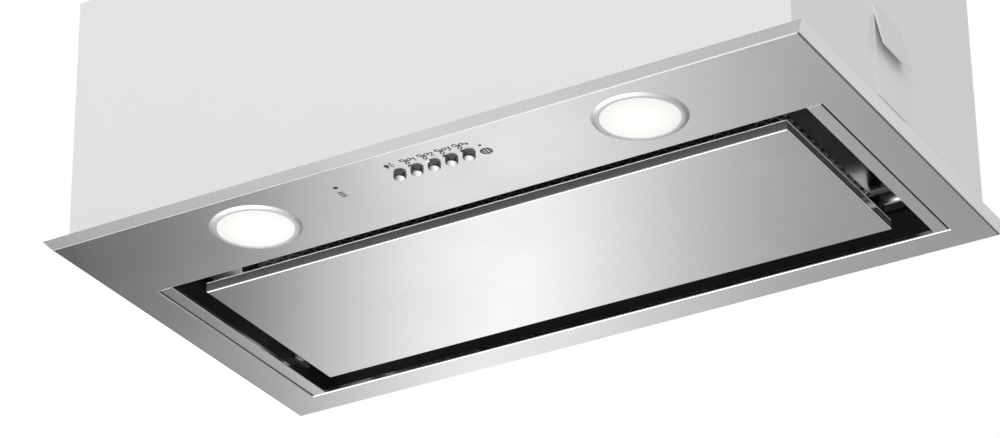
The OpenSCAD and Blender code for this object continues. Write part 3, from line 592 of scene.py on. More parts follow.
@dataclass
class Form:
    """The corners and faces of one mesh, as they are gathered."""

    corners: list[Vector] = field(default_factory=list)
    faces: list[tuple[int, ...]] = field(default_factory=list)

    def _skin(self, first: int, count: int) -> None:
        """Joins rows of corners, each a closed loop, up to the newest corner.

        Args:
            first: The first corner of the first row.
            count: How many corners each row has.
        """
        for row in range(first, len(self.corners) - count, count):
            for k in range(count):
                after = (k + 1) % count
                self.faces.append((row + k, row + after, row + count + after, row + count + k))

    def prism(self, outline: Sequence[Point], low: float, high: float) -> None:
        """Adds a flat shape with a thickness along Z.

        Args:
            outline: Its corners in X and Y.
            low: Its lower face.
            high: Its upper face.
        """
        start, count = len(self.corners), len(outline)
        self.corners += [Vector((x, y, z)) for z in (low, high) for x, y in outline]
        self.faces.append(tuple(range(start + count - 1, start - 1, -1)))
        self.faces.append(tuple(range(start + count, start + 2 * count)))
        self._skin(start, count)

    def slab(self, x: Point, y: Point, z: Point) -> None:
        """Adds a box that spans these ranges."""
        self.prism([(x[0], y[0]), (x[1], y[0]), (x[1], y[1]), (x[0], y[1])], *z)

    def stroke(self, path: Sequence[Point], width: float, low: float, high: float) -> None:
        """Adds a flat line of a constant width, whose parts lap at the corners.

        Args:
            path: The points that it follows in X and Y.
            width: Its width.
            low: Its lower face.
            high: Its upper face.
        """
        shortest, lap = 1e-9, 0.6
        for (ax, ay), (bx, by) in zip(path, path[1:]):
            run = Vector((bx - ax, by - ay))
            if run.length < shortest:
                continue
            along = run.normalized() * width / 2
            side = Vector((-along.y, along.x))
            start, end = Vector((ax, ay)) - along * lap, Vector((bx, by)) + along * lap
            corners = (start - side, end - side, end + side, start + side)
            self.prism([(c.x, c.y) for c in corners], low, high)

    def lathe(self, profile: Sequence[Point], centre: Vector, axis: Vector, steps: int) -> None:
        """Turns a profile round an axis.

        Args:
            profile: Radius and height of each point, from the axis outwards and round.
            centre: Where height zero lies.
            axis: The direction of the heights.
            steps: How many faces go round.
        """
        turn = axis.to_track_quat("Z", "Y").to_matrix()
        start = len(self.corners)
        for radius, height in profile:
            for x, y in circle(radius, steps=steps):
                self.corners.append(centre + turn @ Vector((x, y, height)))
        self._skin(start, steps)

    def ridge(self, start: Vector, end: Vector, out: Vector, width: float, height: float) -> None:
        """Adds a rounded rib on a wall, with ends that run out.

        Args:
            start: One end of the rib, on the wall.
            end: The other end.
            out: The direction away from the wall.
            width: Its width.
            height: Its height.
        """
        steps, run_out = 8, ((0.0, 0.0), (0.12, 0.5), (0.4, 0.9), (0.8, 1.0))
        along = (end - start).normalized()
        side = along.cross(out)
        spots = [(start + along * width * reach, rise) for reach, rise in run_out]
        spots += [(end - along * width * reach, rise) for reach, rise in reversed(run_out)]
        first = len(self.corners)
        for spot, rise in spots:
            for angle in (math.pi * k / steps for k in range(steps + 1)):
                across = side * (width / 2 * math.cos(angle) * rise)
                self.corners.append(spot + across + out * (height * math.sin(angle) * rise))
        self._skin(first, steps + 1)

    def coil(
        self, foot: Vector, axis: Vector, radius: float, wire: float, length: float, turns: float
    ) -> None:
        """Winds a spring of round wire with flattened ends.

        Args:
            foot: The middle of its lower end.
            axis: The direction that it runs in.
            radius: Radius to the middle of the wire.
            wire: Radius of the wire.
            length: Its length over all.
            turns: How many turns it has.
        """
        per_turn, sides, flat = 24, 8, 0.35
        lie = axis.to_track_quat("Z", "Y").to_matrix()
        first, steps = len(self.corners), int(turns * per_turn)
        for i in range(steps + 1):
            wound = turns * i / steps
            rise = min(max((wound - flat) / (turns - 2 * flat), 0.0), 1.0)
            height, angle = wire + (length - 2 * wire) * rise, math.tau * wound
            for across, up in circle(wire, steps=sides):
                reach = radius + across
                spot = Vector((reach * math.cos(angle), reach * math.sin(angle), height + up))
                self.corners.append(foot + lie @ spot)
        self._skin(first, sides)
        self.faces.append(tuple(first + k for k in range(sides)))
        self.faces.append(tuple(first + steps * sides + k for k in range(sides)))

    def mesh(self, name: str, smooth: bool) -> Mesh:
        """Makes the mesh, with joined corners and outward faces.

        Args:
            name: The mesh's name.
            smooth: Whether its round faces are shaded smooth.

        Returns:
            The mesh.
        """
        join_within, thin, sharp_from = 0.0005 * MM, 0.0002 * MM, math.radians(35)
        mesh = bpy.data.meshes.new(name)
        mesh.from_pydata([tuple(c) for c in self.corners], [], self.faces)
        work = bmesh.new()
        work.from_mesh(mesh)
        bmesh.ops.remove_doubles(work, verts=work.verts, dist=join_within)
        bmesh.ops.dissolve_degenerate(work, edges=work.edges, dist=thin)
        bmesh.ops.recalc_face_normals(work, faces=work.faces)
        work.to_mesh(mesh)
        work.free()
        if smooth:
            mesh.shade_smooth()
            mesh.set_sharp_from_angle(angle=sharp_from)
        return mesh


def loose_parts(obj: Object) -> list[tuple[Vector, Vector]]:
    """Finds the separate solids of an object.

    Args:
        obj: The object.

    Returns:
        The lowest and highest corner of each solid.
    """
    work = bmesh.new()
    work.from_mesh(obj.data)
    bmesh.ops.remove_doubles(work, verts=work.verts, dist=0.001 * MM)
    unseen, boxes = set(work.verts), []
    while unseen:
        todo, found = [unseen.pop()], []
        while todo:
            corner = todo.pop()
            found.append(corner.co.copy())
            for edge in corner.link_edges:
                other = edge.other_vert(corner)
                if other in unseen:
                    unseen.discard(other)
                    todo.append(other)
        low = Vector([min(c[i] for c in found) for i in range(3)])
        high = Vector([max(c[i] for c in found) for i in range(3)])
        boxes.append((low, high))
    work.free()
    return boxes


def centre_of(node: str) -> Vector:
    """Gives the middle of a frame node's box."""
    low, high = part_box(node)
    return (low + high) / 2


def circle(radius: float, at: Point = (0.0, 0.0), steps: int = 24) -> list[Point]:
    """Gives the corners of a circle.

    Args:
        radius: Its radius.
        at: Its centre.
        steps: How many corners it has.

    Returns:
        The corners, anticlockwise.
    """
    x, y = at
    turns = (math.tau * k / steps for k in range(steps))
    return [(x + radius * math.cos(a), y + radius * math.sin(a)) for a in turns]


def quarter_turn(steps: int = 6) -> list[float]:
    """Gives even angles from zero to a right angle."""
    return [math.pi / 2 * k / steps for k in range(steps + 1)]


class Workshop:
    """Makes pieces, puts finishes on them and hangs them on the frame."""

    join_within = 0.002 * MM
    flat_within = math.radians(0.3)
    sharp_from = math.radians(32)
    fold_steps = 5
    edge_steps = 2
    face_weight = 100

    def __init__(self, frame: dict[str, Any]) -> None:
        """Builds every finish once.

        Args:
            frame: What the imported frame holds.
        """
        self.nodes: dict[str, Object] = frame["nodes"]
        effects = Effects()
        finishes = [getattr(BOOK, entry.name) for entry in fields(BOOK)]
        self.paints = {finish.name: finish.build(effects) for finish in finishes}

    def dress(
        self, names: Iterable[str], finish: Finish, edge: float = 0.25 * MM,
        fold: Fold | None = None, windows: bool = False,
    ) -> None:
        """Puts a finish on frame nodes and breaks their sharp edges.

        Args:
            names: The nodes.
            finish: The finish that they get.
            edge: Width of the broken edge, or zero to leave the edges sharp.
            fold: The sheet's folds that are rounded wider.
            windows: Whether its flat faces have several windows, so that they stay in parts.
        """
        for name in names:
            node = self.nodes[name]
            node.data.materials.clear()
            node.data.materials.append(self.paints[finish.name])
            if edge > 0.0:
                self._soften(node, edge, fold, windows)
            LOG.info("dressed %s in %s", name, finish.name)

    @staticmethod
    def _modify(obj: Object, name: str, kind: str, **settings: Any) -> None:
        """Adds a modifier.

        Args:
            obj: The object.
            name: The modifier's name.
            kind: Its type.
            settings: Its properties and their values.
        """
        modifier = obj.modifiers.new(name, kind)
        for setting, value in settings.items():
            setattr(modifier, setting, value)

    def _soften(self, obj: Object, edge: float, fold: Fold | None, windows: bool) -> None:
        """Smooths the round faces of an object and breaks its sharp edges.

        Args:
            obj: The object.
            edge: Width of the broken edge.
            fold: The sheet's folds that are rounded wider.
            windows: Whether its flat faces stay in parts.
        """
        with bpy.context.temp_override(object=obj, active_object=obj, selected_objects=[obj]):
            bpy.ops.mesh.customdata_custom_splitnormals_clear()
        obj.data.shade_smooth()
        self._modify(obj, "Join corners", "WELD", merge_threshold=self.join_within)
        if not windows:
            self._modify(obj, "Whole faces", "DECIMATE", decimate_type="DISSOLVE",
                         angle_limit=self.flat_within)
        if fold:
            fold.mark(obj.data)
            self._modify(obj, "Round folds", "BEVEL", width=fold.width, segments=self.fold_steps,
                         limit_method="WEIGHT", use_clamp_overlap=False)
        self._modify(obj, "Break edges", "BEVEL", width=edge, segments=self.edge_steps,
                     limit_method="ANGLE", angle_limit=self.sharp_from, miter_outer="MITER_ARC")
        self._modify(obj, "Level normals", "WEIGHTED_NORMAL", mode="FACE_AREA",
                     weight=self.face_weight)

    def hang(
        self, name: str, form: Form, finish: Finish, body: str = "root",
        replaces: Sequence[str] = (), smooth: bool = True,
    ) -> Object:
        """Makes a piece of a form and hangs it on a body.

        Args:
            name: The piece's name.
            form: Its shape, in the frame's place.
            finish: Its finish.
            body: The body that carries it.
            replaces: The frame nodes that it stands for.
            smooth: Whether its round faces are shaded smooth.

        Returns:
            The new piece.
        """
        mesh = form.mesh(name, smooth)
        mesh.materials.append(self.paints[finish.name])
        piece = bpy.data.objects.new(name, mesh)
        bpy.context.scene.collection.objects.link(piece)
        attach(piece, body)
        if replaces:
            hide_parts(*replaces)
        LOG.info("made %s in %s", name, finish.name)
        return piece


@dataclass
class SubAssembly(ABC):
    """A group of pieces that one workshop dresses together."""

    shop: Workshop

    @abstractmethod
    def dress(self) -> None:
        """Dresses the group's nodes and adds its own pieces."""


@dataclass
class Face(SubAssembly):
    """The stainless face plate with its strips and the moulded frame behind it."""

    edge: float = 0.3 * MM
    bend: float = 1.15 * MM
    rim_run: float = 5.0 * MM
    strip_edge: float = 0.12 * MM
    strip_bend: float = 0.5 * MM
    seam: float = 0.3 * MM
    # Size and place of the black cord that paints the seam's shadow.
    cord_w: float = 0.65 * MM
    cord_out: float = 0.24 * MM
    cord_low: float = 0.06 * MM
    cord_high: float = 0.05 * MM

    def dress(self) -> None:
        """Dresses the sheet, the strips and what holds them."""
        low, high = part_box("face_plate")
        left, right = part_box("side_trim_left"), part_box("side_trim_right")
        rim, seam = self.rim_run, self.seam
        fold = Fold(
            self.bend, low.z,
            (low.x + rim, high.x - rim, left[0].x - seam, right[1].x + seam),
            (low.y + rim, high.y - rim, left[0].y - seam, left[1].y + seam),
        )
        self.shop.dress(["face_plate"], BOOK.stainless, self.edge, fold)
        for name, inner in (("side_trim_left", left[1].x), ("side_trim_right", right[0].x)):
            bend = Fold(self.strip_bend, left[0].z, (inner,))
            self.shop.dress([name], BOOK.stainless, self.strip_edge, bend)
        self.shop.dress(["intake_frame"], BOOK.black, 0.4 * MM)
        self.shop.dress(["face_brackets", "face_screws"], BOOK.zinc)
        self.shop.dress(["rim_seal"], BOOK.rubber, 0.3 * MM)
        # Painted shadow: a black cord beside each strip stands for the seam's dark line.
        for side in Side:
            self._cord(side, low.z)

    def _cord(self, side: Side, face_z: float) -> None:
        """Lays a thin black cord in the seam beside a strip, as painted shadow of the seam's gap.

        Args:
            side: The strip's side.
            face_z: Height of the face.
        """
        low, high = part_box(f"side_trim_{side.word}")
        outer = (high.x if side is Side.RIGHT else low.x) + side.value * self.cord_out
        near, far = sorted((outer, outer - side.value * self.cord_w))
        form = Form()
        form.slab((near, far), (low.y, high.y), (face_z + self.cord_low, low.z + self.cord_high))
        self.shop.hang(f"seam_shadow_cord_{side.word}", form, BOOK.rubber)


@dataclass
class Lamp(SubAssembly):
    """One round lamp: ring, lens, board and cup."""

    side: Side

    def dress(self) -> None:
        """Dresses the four pieces of the lamp."""
        name = self.side.word
        self.shop.dress([f"lamp_bezel_{name}"], BOOK.ring)
        self.shop.dress([f"lamp_lens_{name}"], BOOK.lens, 0.2 * MM)
        self.shop.dress([f"lamp_board_{name}"], BOOK.white)
        self.shop.dress([f"lamp_cup_{name}"], BOOK.aluminium, 0.4 * MM)


@dataclass
class Buttons(SubAssembly):
    """The row of chromed push buttons with their springs and lights."""

    rim: float = 0.8 * MM
    crown: float = 0.08 * MM
    stem_r: float = 2.0 * MM
    foot_over: float = 0.6 * MM
    foot_up: float = 1.1 * MM
    foot_t: float = 1.0 * MM
    button_steps: int = 48
    wire_r: float = 0.35 * MM
    coil_r: float = 3.3 * MM
    turns: float = 4.7
    press: float = 1.5 * MM
    light_shift: float = -1.3 * MM
    light_forward: float = 6.0 * MM
    light_r: float = 1.35 * MM
    light_up: float = 0.02 * MM
    dome_h: float = 0.45 * MM
    dome_steps: int = 24
    lit_light: int = 1
    heart_r: float = 0.6 * MM
    heart_low: float = 0.47 * MM
    heart_high: float = 0.3 * MM

    def dress(self) -> None:
        """Makes the buttons, their springs and the lights, and dresses what holds them."""
        for name in BUTTONS:
            self._button(name)
        self.shop.dress(["control_screws"], BOOK.zinc, 0.0)
        low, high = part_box("button_springs")
        for name in BUTTONS:
            self._spring(name, low.z, high.z)
        self.shop.dress(["button_carrier", "control_cover"], BOOK.black, 0.4 * MM)
        self.shop.dress(["switch_board"], BOOK.board)
        self.shop.dress(["indicator_lights"], BOOK.clear, 0.15 * MM)
        self._domes()

    def _button(self, name: str) -> None:
        """Turns one button with a rounded rim and a slightly crowned end.

        Args:
            name: The frame node that it stands for.
        """
        low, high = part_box(name)
        middle = centre_of(name)
        foot_r = (high.x - low.x) / 2
        head_r = foot_r - self.foot_over
        foot_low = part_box("face_plate")[0].z + self.foot_up
        foot_high = foot_low + self.foot_t
        inner, rise = head_r - self.rim, self.rim - self.crown
        profile = [(inner * k / 6, low.z + self.crown * (k / 6) ** 2) for k in range(6)]
        profile += [
            (inner + self.rim * math.sin(a), low.z + self.crown + rise * (1 - math.cos(a)))
            for a in quarter_turn()
        ]
        profile += [
            (head_r, foot_low), (foot_r, foot_low), (foot_r, foot_high), (self.stem_r, foot_high),
            (self.stem_r, high.z), (0.0, high.z),
        ]
        form = Form()
        form.lathe(profile, Vector((middle.x, middle.y, 0.0)), UP, self.button_steps)
        self.shop.hang(f"{name}_turned", form, BOOK.chrome, name, [name])

    def _spring(self, name: str, low: float, high: float) -> None:
        """Winds the return spring over a button, at one length, though the real one shortens as the
        button goes in.

        Args:
            name: The button.
            low: Height of the spring's lower end.
            high: Height of its upper end.
        """
        middle, length = centre_of(name), high - low
        form = Form()
        foot = Vector((middle.x, middle.y, low))
        form.coil(foot, UP, self.coil_r, self.wire_r, length, self.turns)
        spring = self.shop.hang(f"{name}_spring", form, BOOK.zinc, replaces=["button_springs"])
        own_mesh(spring)

    def _domes(self) -> None:
        """Turns the domed ends of the indicator lights, of which the second is lit."""
        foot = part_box("indicator_lights")[0].z + self.light_up
        profile = [(0.0, 0.0)]
        profile += [(self.light_r * math.cos(a), self.dome_h * math.sin(a)) for a in quarter_turn()]
        spots = []
        for name in BUTTONS[1:]:
            middle = centre_of(name)
            spots.append(Vector((middle.x + self.light_shift, middle.y - self.light_forward, foot)))
        dark, lit, heart = Form(), Form(), Form()
        for index, spot in enumerate(spots):
            form = lit if index == self.lit_light else dark
            form.lathe(profile, spot, DOWN, self.dome_steps)
        first = spots[0]
        heart.prism(circle(self.heart_r, (first.x, first.y)),
                    first.z - self.heart_low, first.z - self.heart_high)
        self.shop.hang("light_domes", dark, BOOK.clear)
        self.shop.hang("lit_dome", lit, BOOK.lit)
        self.shop.hang("light_heart", heart, BOOK.white, smooth=False)


@dataclass
class Signs(SubAssembly):
    """The signs printed on the face. Their places and drawings are in millimetres."""

    ink_t: float = 0.02 * MM
    sunk: float = 0.3 * MM
    line: float = 0.8 * MM
    sign_at: Point = (-0.2, -12.8)
    numeral_at: Point = (5.4, -12.6)
    filter_dot_at: Point = (11.3, -6.6)
    filter_dot_r: float = 1.1
    filter_at: Point = (11.3, 1.6)
    timer_dot_at: Point = (-43.4, -5.7)
    timer_dot_r: float = 1.6
    timer_at: Point = (-44.1, 3.5)
    bulb_at: Point = (1.6, 0.7)
    bulb_r: float = 1.6
    neck: tuple[Point, ...] = ((-2.4, -2.6), (-0.8, -2.6), (-0.8, 0.0), (-2.4, 0.0))
    rays: tuple[tuple[Point, ...], ...] = (
        ((0.7, 1.7), (2.6, 2.9)), ((0.9, 0.3), (3.4, 0.3)), ((0.7, -1.2), (2.6, -2.4)),
    )
    hub_r: float = 0.6
    blade_out: float = 2.5
    blade_size: Point = (1.6, 1.15)
    first_blade: float = math.radians(100)
    filter_r: float = 3.6
    bar_pitch: float = 2.1
    wave: tuple[Point, ...] = ((-1.6, 0.35), (-0.5, -0.3), (0.5, 0.3), (1.6, -0.35))
    wave_pitch: float = 2.6
    wave_weight: float = 1.4
    form: Form = field(default_factory=Form)
    low: float = 0.0
    high: float = 0.0

    def dress(self) -> None:
        """Prints every sign."""
        face_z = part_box("face_plate")[0].z
        self.low, self.high = face_z - self.ink_t, face_z + self.sunk
        for name, glyph in zip(BUTTONS, Glyph):
            if glyph is Glyph.BULB:
                self._bulb(self._beside(name, self.sign_at))
            else:
                self._fan(self._beside(name, self.sign_at))
                self._draw(self._strokes(glyph), self._beside(name, self.numeral_at))
        self._disc(self.filter_dot_r, self._beside(BUTTONS[-1], self.filter_dot_at))
        self._filter(self._beside(BUTTONS[-1], self.filter_at))
        self._disc(self.timer_dot_r, self._beside(BUTTONS[0], self.timer_dot_at))
        middle = self._beside(BUTTONS[0], self.timer_at)
        for k in (-1, 0, 1):
            spot = middle + Vector((0.0, k * self.wave_pitch * MM))
            self._draw((self.wave,), spot, self.wave_weight)
        self.shop.hang("printed_signs", self.form, BOOK.ink, smooth=False)

    @staticmethod
    def _beside(node: str, shift: Point) -> Vector:
        """Gives the spot that lies a shift away from a node's middle."""
        middle = centre_of(node)
        return Vector((middle.x + shift[0] * MM, middle.y + shift[1] * MM))

    @staticmethod
    def _placed(path: Iterable[Point], at: Vector) -> list[Point]:
        """Puts a drawing on the face, where its top is forward."""
        return [(at.x + x * MM, at.y - y * MM) for x, y in path]

    def _disc(self, radius: float, at: Vector, steps: int = 24) -> None:
        """Prints a full disc."""
        self.form.prism(circle(radius * MM, (at.x, at.y), steps), self.low, self.high)

    def _draw(self, paths: Iterable[Sequence[Point]], at: Vector, weight: float = 1.0) -> None:
        """Prints lines through their points, their width being a share of the usual one."""
        for path in paths:
            self.form.stroke(self._placed(path, at), weight * self.line, self.low, self.high)

    def _bulb(self, at: Vector) -> None:
        """Draws a light bulb with three rays.

        Args:
            at: Where the drawing's middle lies.
        """
        x, y = self.bulb_at
        self._disc(self.bulb_r, Vector((at.x - x * MM, at.y - y * MM)), 20)
        self.form.prism(self._placed(self.neck, at), self.low, self.high)
        self._draw(self.rays, at)

    def _fan(self, at: Vector) -> None:
        """Draws a fan of three rounded blades round a hub.

        Args:
            at: Where the drawing's middle lies.
        """
        self._disc(self.hub_r, at, 12)
        long, wide = self.blade_size
        for blade in range(3):
            turn = math.tau * blade / 3 + self.first_blade
            loop = []
            for a in (math.tau * k / 12 for k in range(13)):
                along, across = self.blade_out + long * math.cos(a), wide * math.sin(a)
                loop.append((along * math.cos(turn) - across * math.sin(turn),
                             -along * math.sin(turn) - across * math.cos(turn)))
            self._draw((loop,), at)

    @staticmethod
    def _strokes(glyph: Glyph) -> tuple[tuple[Point, ...], ...]:
        """Gives the lines of the numeral or the plus beside a fan.

        Args:
            glyph: The sign beside the fan.

        Returns:
            The points of each line.
        """
        return {
            Glyph.LOW: (((-0.7, 1.1), (0.1, 1.9), (0.1, -1.9)),),
            Glyph.MEDIUM: (((-1.0, 1.3), (0.0, 1.9), (1.0, 1.1), (-1.0, -1.9), (1.1, -1.9)),),
            Glyph.HIGH: (
                ((-1.0, 1.9), (1.0, 1.9), (0.0, 0.4), (1.0, -0.7), (0.1, -1.9), (-1.0, -1.5)),
            ),
            Glyph.BOOST: (((-1.3, 0.0), (1.3, 0.0)), ((0.0, -1.3), (0.0, 1.3))),
        }[glyph]

    def _filter(self, at: Vector) -> None:
        """Draws the round sign of the grease filter.

        Args:
            at: Where the drawing's middle lies.
        """
        ring = circle(self.filter_r, steps=28)
        self._draw((ring + ring[:1],), at)
        for offset in (-self.bar_pitch, 0.0, self.bar_pitch):
            half = (self.filter_r**2 - offset**2) ** 0.5
            self._draw((((-half, offset), (half, offset)), ((offset, -half), (offset, half))), at)


@dataclass
class PerimeterPanel(SubAssembly):
    """The folded panel with its stiffener, hinges and catches."""

    bend: float = 0.9 * MM
    wall_h: float = 6.8 * MM
    hem_w: float = 0.7 * MM
    hem_h: float = 0.3 * MM
    body: str = "panel"

    def dress(self) -> None:
        """Dresses the panel and what carries it."""
        low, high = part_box("perimeter_panel")
        fold = Fold(self.bend, low.z, (low.x, high.x), (low.y, high.y))
        self.shop.dress(["perimeter_panel"], BOOK.panel, 0.15 * MM, fold)
        self.shop.dress(["panel_frame"], BOOK.black, windows=True)
        self.shop.dress(["hinge_brackets", "hinge_pins"], BOOK.zinc, 0.2 * MM)
        self.shop.dress(["panel_catches"], BOOK.spring, 0.1 * MM)
        self._hem(low, high)

    def _hem(self, low: Vector, high: Vector) -> None:
        """Rolls a fine hem along the upper edge of the front and side walls.

        Args:
            low: Lowest corner of the panel.
            high: Highest corner of the panel.
        """
        z = low.z + self.wall_h
        form = Form()
        for start, end, out in (
            ((low.x, low.y, z), (high.x, low.y, z), FRONT),
            ((low.x, low.y, z), (low.x, high.y, z), LEFT),
            ((high.x, low.y, z), (high.x, high.y, z), RIGHT),
        ):
            form.ridge(Vector(start), Vector(end), out, self.hem_w, self.hem_h)
        self.shop.hang("panel_hem", form, BOOK.stainless, self.body)


@dataclass
class GreaseFilter(SubAssembly):
    """The framed pack of expanded mesh with its latch."""

    pitch_x: float = 9.8 * MM
    pitch_y: float = 4.9 * MM
    strand: float = 1.1 * MM
    slant: float = 0.86
    sheet_t: float = 0.3 * MM
    sheet_up: float = 0.2 * MM
    lap: float = 1.01
    sag: float = 0.45 * MM
    pack_in: float = 1.0 * MM
    pack_t: float = 1.5 * MM
    spring_wire: float = 0.3 * MM
    spring_turns: float = 5.7
    draw: float = 3.0 * MM

    def dress(self) -> None:
        """Makes the mesh and dresses the frame and the latch."""
        self.shop.dress(["filter_frame"], BOOK.aluminium, windows=True)
        self.shop.dress(["filter_latch"], BOOK.black, 0.3 * MM)
        self._spring()
        low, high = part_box("filter_mesh")
        form = self._expanded(low, high, low.z + self.sheet_up)
        sheet = self.shop.hang("expanded_mesh", form, BOOK.mesh, replaces=["filter_mesh"])
        sheet.modifiers.new("Sheet thickness", "SOLIDIFY").thickness = self.sheet_t
        self._pack(low, high)

    def _spring(self) -> None:
        """Winds the spring behind the latch, at one length, though the real one shortens as the
        latch is drawn.
        """
        low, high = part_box("latch_spring")
        middle, length = centre_of("latch_spring"), high.y - low.y
        radius = (high.x - low.x) / 2 - self.spring_wire
        form = Form()
        form.coil(Vector((middle.x, low.y, middle.z)), BACK, radius, self.spring_wire, length,
                  self.spring_turns)
        spring = self.shop.hang("latch_coil", form, BOOK.zinc, replaces=["latch_spring"])
        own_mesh(spring)

    def _expanded(self, low: Vector, high: Vector, z: float) -> Form:
        """Slits and stretches a sheet into rows of diamonds, every other row shifted by half.

        Args:
            low: Lowest corner of the sheet.
            high: Highest corner of the sheet.
            z: Height of the sheet.

        Returns:
            The sheet, without thickness.
        """
        columns = int((high.x - low.x) / self.pitch_x)
        rows = int((high.y - low.y) / self.pitch_y)
        margin_x = (high.x - low.x - columns * self.pitch_x) / 2
        margin_y = (high.y - low.y - rows * self.pitch_y) / 2
        form = Form()
        for row in range(rows):
            shift = self.pitch_x / 4 if row % 2 else -self.pitch_x / 4
            for column in range(columns):
                x = low.x + margin_x + (column + 0.5) * self.pitch_x + shift
                y = low.y + margin_y + (row + 0.5) * self.pitch_y
                self._diamond(form, Vector((x, y, z)))
        return form

    def _diamond(self, form: Form, at: Vector) -> None:
        """Adds the four strands round one opening.

        Args:
            form: Where the strands go.
            at: The middle of the opening.
        """
        half_x, half_y = self.pitch_x / 2 * self.lap, self.pitch_y * self.lap
        outer = [(half_x, 0, 0), (0, half_y, self.sag), (-half_x, 0, 0), (0, -half_y, self.sag)]
        open_part = (1 - self.strand / self.pitch_y) * self.slant
        start = len(form.corners)
        form.corners += [at + Vector(corner) for corner in outer]
        form.corners += [
            at + Vector((x * open_part, y * open_part, self.sag / 2)) for x, y, _ in outer
        ]
        for k in range(4):
            after = (k + 1) % 4
            form.faces.append((start + k, start + after, start + 4 + after, start + 4 + k))

    def _pack(self, low: Vector, high: Vector) -> None:
        """Adds a flat dark slab above the lower mesh for the finer layers; its dark grey is painted
        shade of the filter's inside.

        Args:
            low: Lowest corner of the filter's mesh.
            high: Its highest corner.
        """
        width = low.x + self.pack_in, high.x - self.pack_in
        depth = low.y + self.pack_in, high.y - self.pack_in
        form = Form()
        form.slab(width, depth, (high.z - self.pack_t, high.z))
        self.shop.hang("shaded_mesh_pack", form, BOOK.pack, smooth=False)


@dataclass
class Housing(SubAssembly):
    """The white coated body with its lid, clips and electrics."""

    bead_h: float = 0.7 * MM
    bead_w: float = 6.0 * MM
    bead_inset: float = 45 * MM
    lid_beads: tuple[float, ...] = (-190 * MM, -110 * MM, 110 * MM, 190 * MM)
    back_beads: tuple[float, ...] = (50 * MM, 90 * MM, 130 * MM)
    side_bead_y: float = -80 * MM
    side_bead_z: Point = (40 * MM, 150 * MM)
    weld_r: float = 2.2 * MM
    weld_h: float = 0.12 * MM
    weld_flat: float = 0.6
    weld_inset: float = 9.0 * MM
    weld_z: tuple[float, ...] = (25 * MM, 55 * MM, 85 * MM, 115 * MM, 145 * MM)
    weld_steps: int = 20
    ribs: int = 16
    rib_sunk: float = 0.15 * MM
    rib_x: Point = (7.5 * MM, 11.5 * MM)
    rib_w: float = 1.4 * MM
    rib_h: float = 0.5 * MM

    def dress(self) -> None:
        """Dresses the body and adds its beads, welds and grip ribs."""
        self.shop.dress(["housing_shell", "housing_lid"], BOOK.coat, 0.5 * MM)
        self.shop.dress(["cabinet_clips"], BOOK.coat, 0.2 * MM)
        self.shop.dress(["terminal_box", "terminal_lid"], BOOK.casing, 0.5 * MM)
        self.shop.dress(["led_driver", "capacitor"], BOOK.white, 0.8 * MM)
        self.shop.dress(["lamp_leads", "motor_lead"], BOOK.rubber, 0.0)
        self.shop.dress(["cable_gland"], BOOK.black, 0.4 * MM)
        low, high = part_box("housing_lid")
        self._beads(low, high)
        self._welds(low, high)
        self._grip()

    def _beads(self, low: Vector, high: Vector) -> None:
        """Presses stiffening beads into the lid, the back and the left side.

        Args:
            low: Lowest corner of the lid.
            high: Highest corner of the lid.
        """
        inset = Vector.Fill(3, self.bead_inset)
        form, foot, top = Form(), low + inset, high - inset
        runs = [((x, foot.y, high.z), (x, top.y, high.z), UP) for x in self.lid_beads]
        runs += [((foot.x, high.y, z), (top.x, high.y, z), BACK) for z in self.back_beads]
        bottom, ceiling = self.side_bead_z
        runs.append(((low.x, self.side_bead_y, bottom), (low.x, self.side_bead_y, ceiling), LEFT))
        for start, end, out in runs:
            form.ridge(Vector(start), Vector(end), out, self.bead_w, self.bead_h)
        self.shop.hang("pressed_beads", form, BOOK.coat)

    def _welds(self, low: Vector, high: Vector) -> None:
        """Dots the back corners with spot welds.

        Args:
            low: Lowest corner of the lid.
            high: Highest corner of the lid.
        """
        form = Form()
        flat = self.weld_r * self.weld_flat
        profile = [(0.0, self.weld_h), (flat, self.weld_h), (self.weld_r, 0.0), (0.0, 0.0)]
        for x in (low.x + self.weld_inset, high.x - self.weld_inset):
            for z in self.weld_z:
                form.lathe(profile, Vector((x, high.y, z)), BACK, self.weld_steps)
        self.shop.hang("spot_welds", form, BOOK.coat)

    def _grip(self) -> None:
        """Adds the grip ribs round the cap of the cable gland."""
        low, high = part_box("cable_gland")
        middle, reach = centre_of("cable_gland"), (high.y - low.y) / 2 - self.rib_sunk
        tip, root = (low.x + x for x in self.rib_x)
        form = Form()
        for angle in (math.tau * (k + 0.5) / self.ribs for k in range(self.ribs)):
            out = Vector((0, math.cos(angle), math.sin(angle)))
            foot = Vector((0, middle.y, middle.z)) + out * reach
            start, end = Vector((tip, foot.y, foot.z)), Vector((root, foot.y, foot.z))
            form.ridge(start, end, out, self.rib_w, self.rib_h)
        self.shop.hang("gland_ribs", form, BOOK.black)


@dataclass
class ScrewRecessShade(SubAssembly):
    """Painted shade of the cross recesses in the heads of the screws that show, laid as flat dark
    crosses.
    """

    reach: float = 0.62
    width: float = 0.9 * MM
    depth: float = 0.05 * MM

    def dress(self) -> None:
        """Lays a flat dark cross of painted shade on each head of the lid's and the face's screws.
        """
        form = Form()
        for low, high in loose_parts(self.shop.nodes["lid_screws"]):
            middle, span = (low + high) / 2, (high.x - low.x) / 2 * self.reach
            for dx, dy in ((span, 0.0), (0.0, span)):
                form.stroke([(middle.x - dx, middle.y - dy), (middle.x + dx, middle.y + dy)],
                            self.width, high.z - self.depth, high.z + self.depth)
        self.shop.hang("lid_screw_recess_shade", form, BOOK.recess, smooth=False)
        form = Form()
        for low, high in loose_parts(self.shop.nodes["face_screws"]):
            middle, span = (low + high) / 2, (high.z - low.z) / 2 * self.reach
            head = high.x if middle.x > 0 else low.x
            for dy, dz in ((span, self.width / 2), (self.width / 2, span)):
                form.slab((head - self.depth, head + self.depth), (middle.y - dy, middle.y + dy),
                          (middle.z - dz, middle.z + dz))
        self.shop.hang("face_screw_recess_shade", form, BOOK.recess, smooth=False)


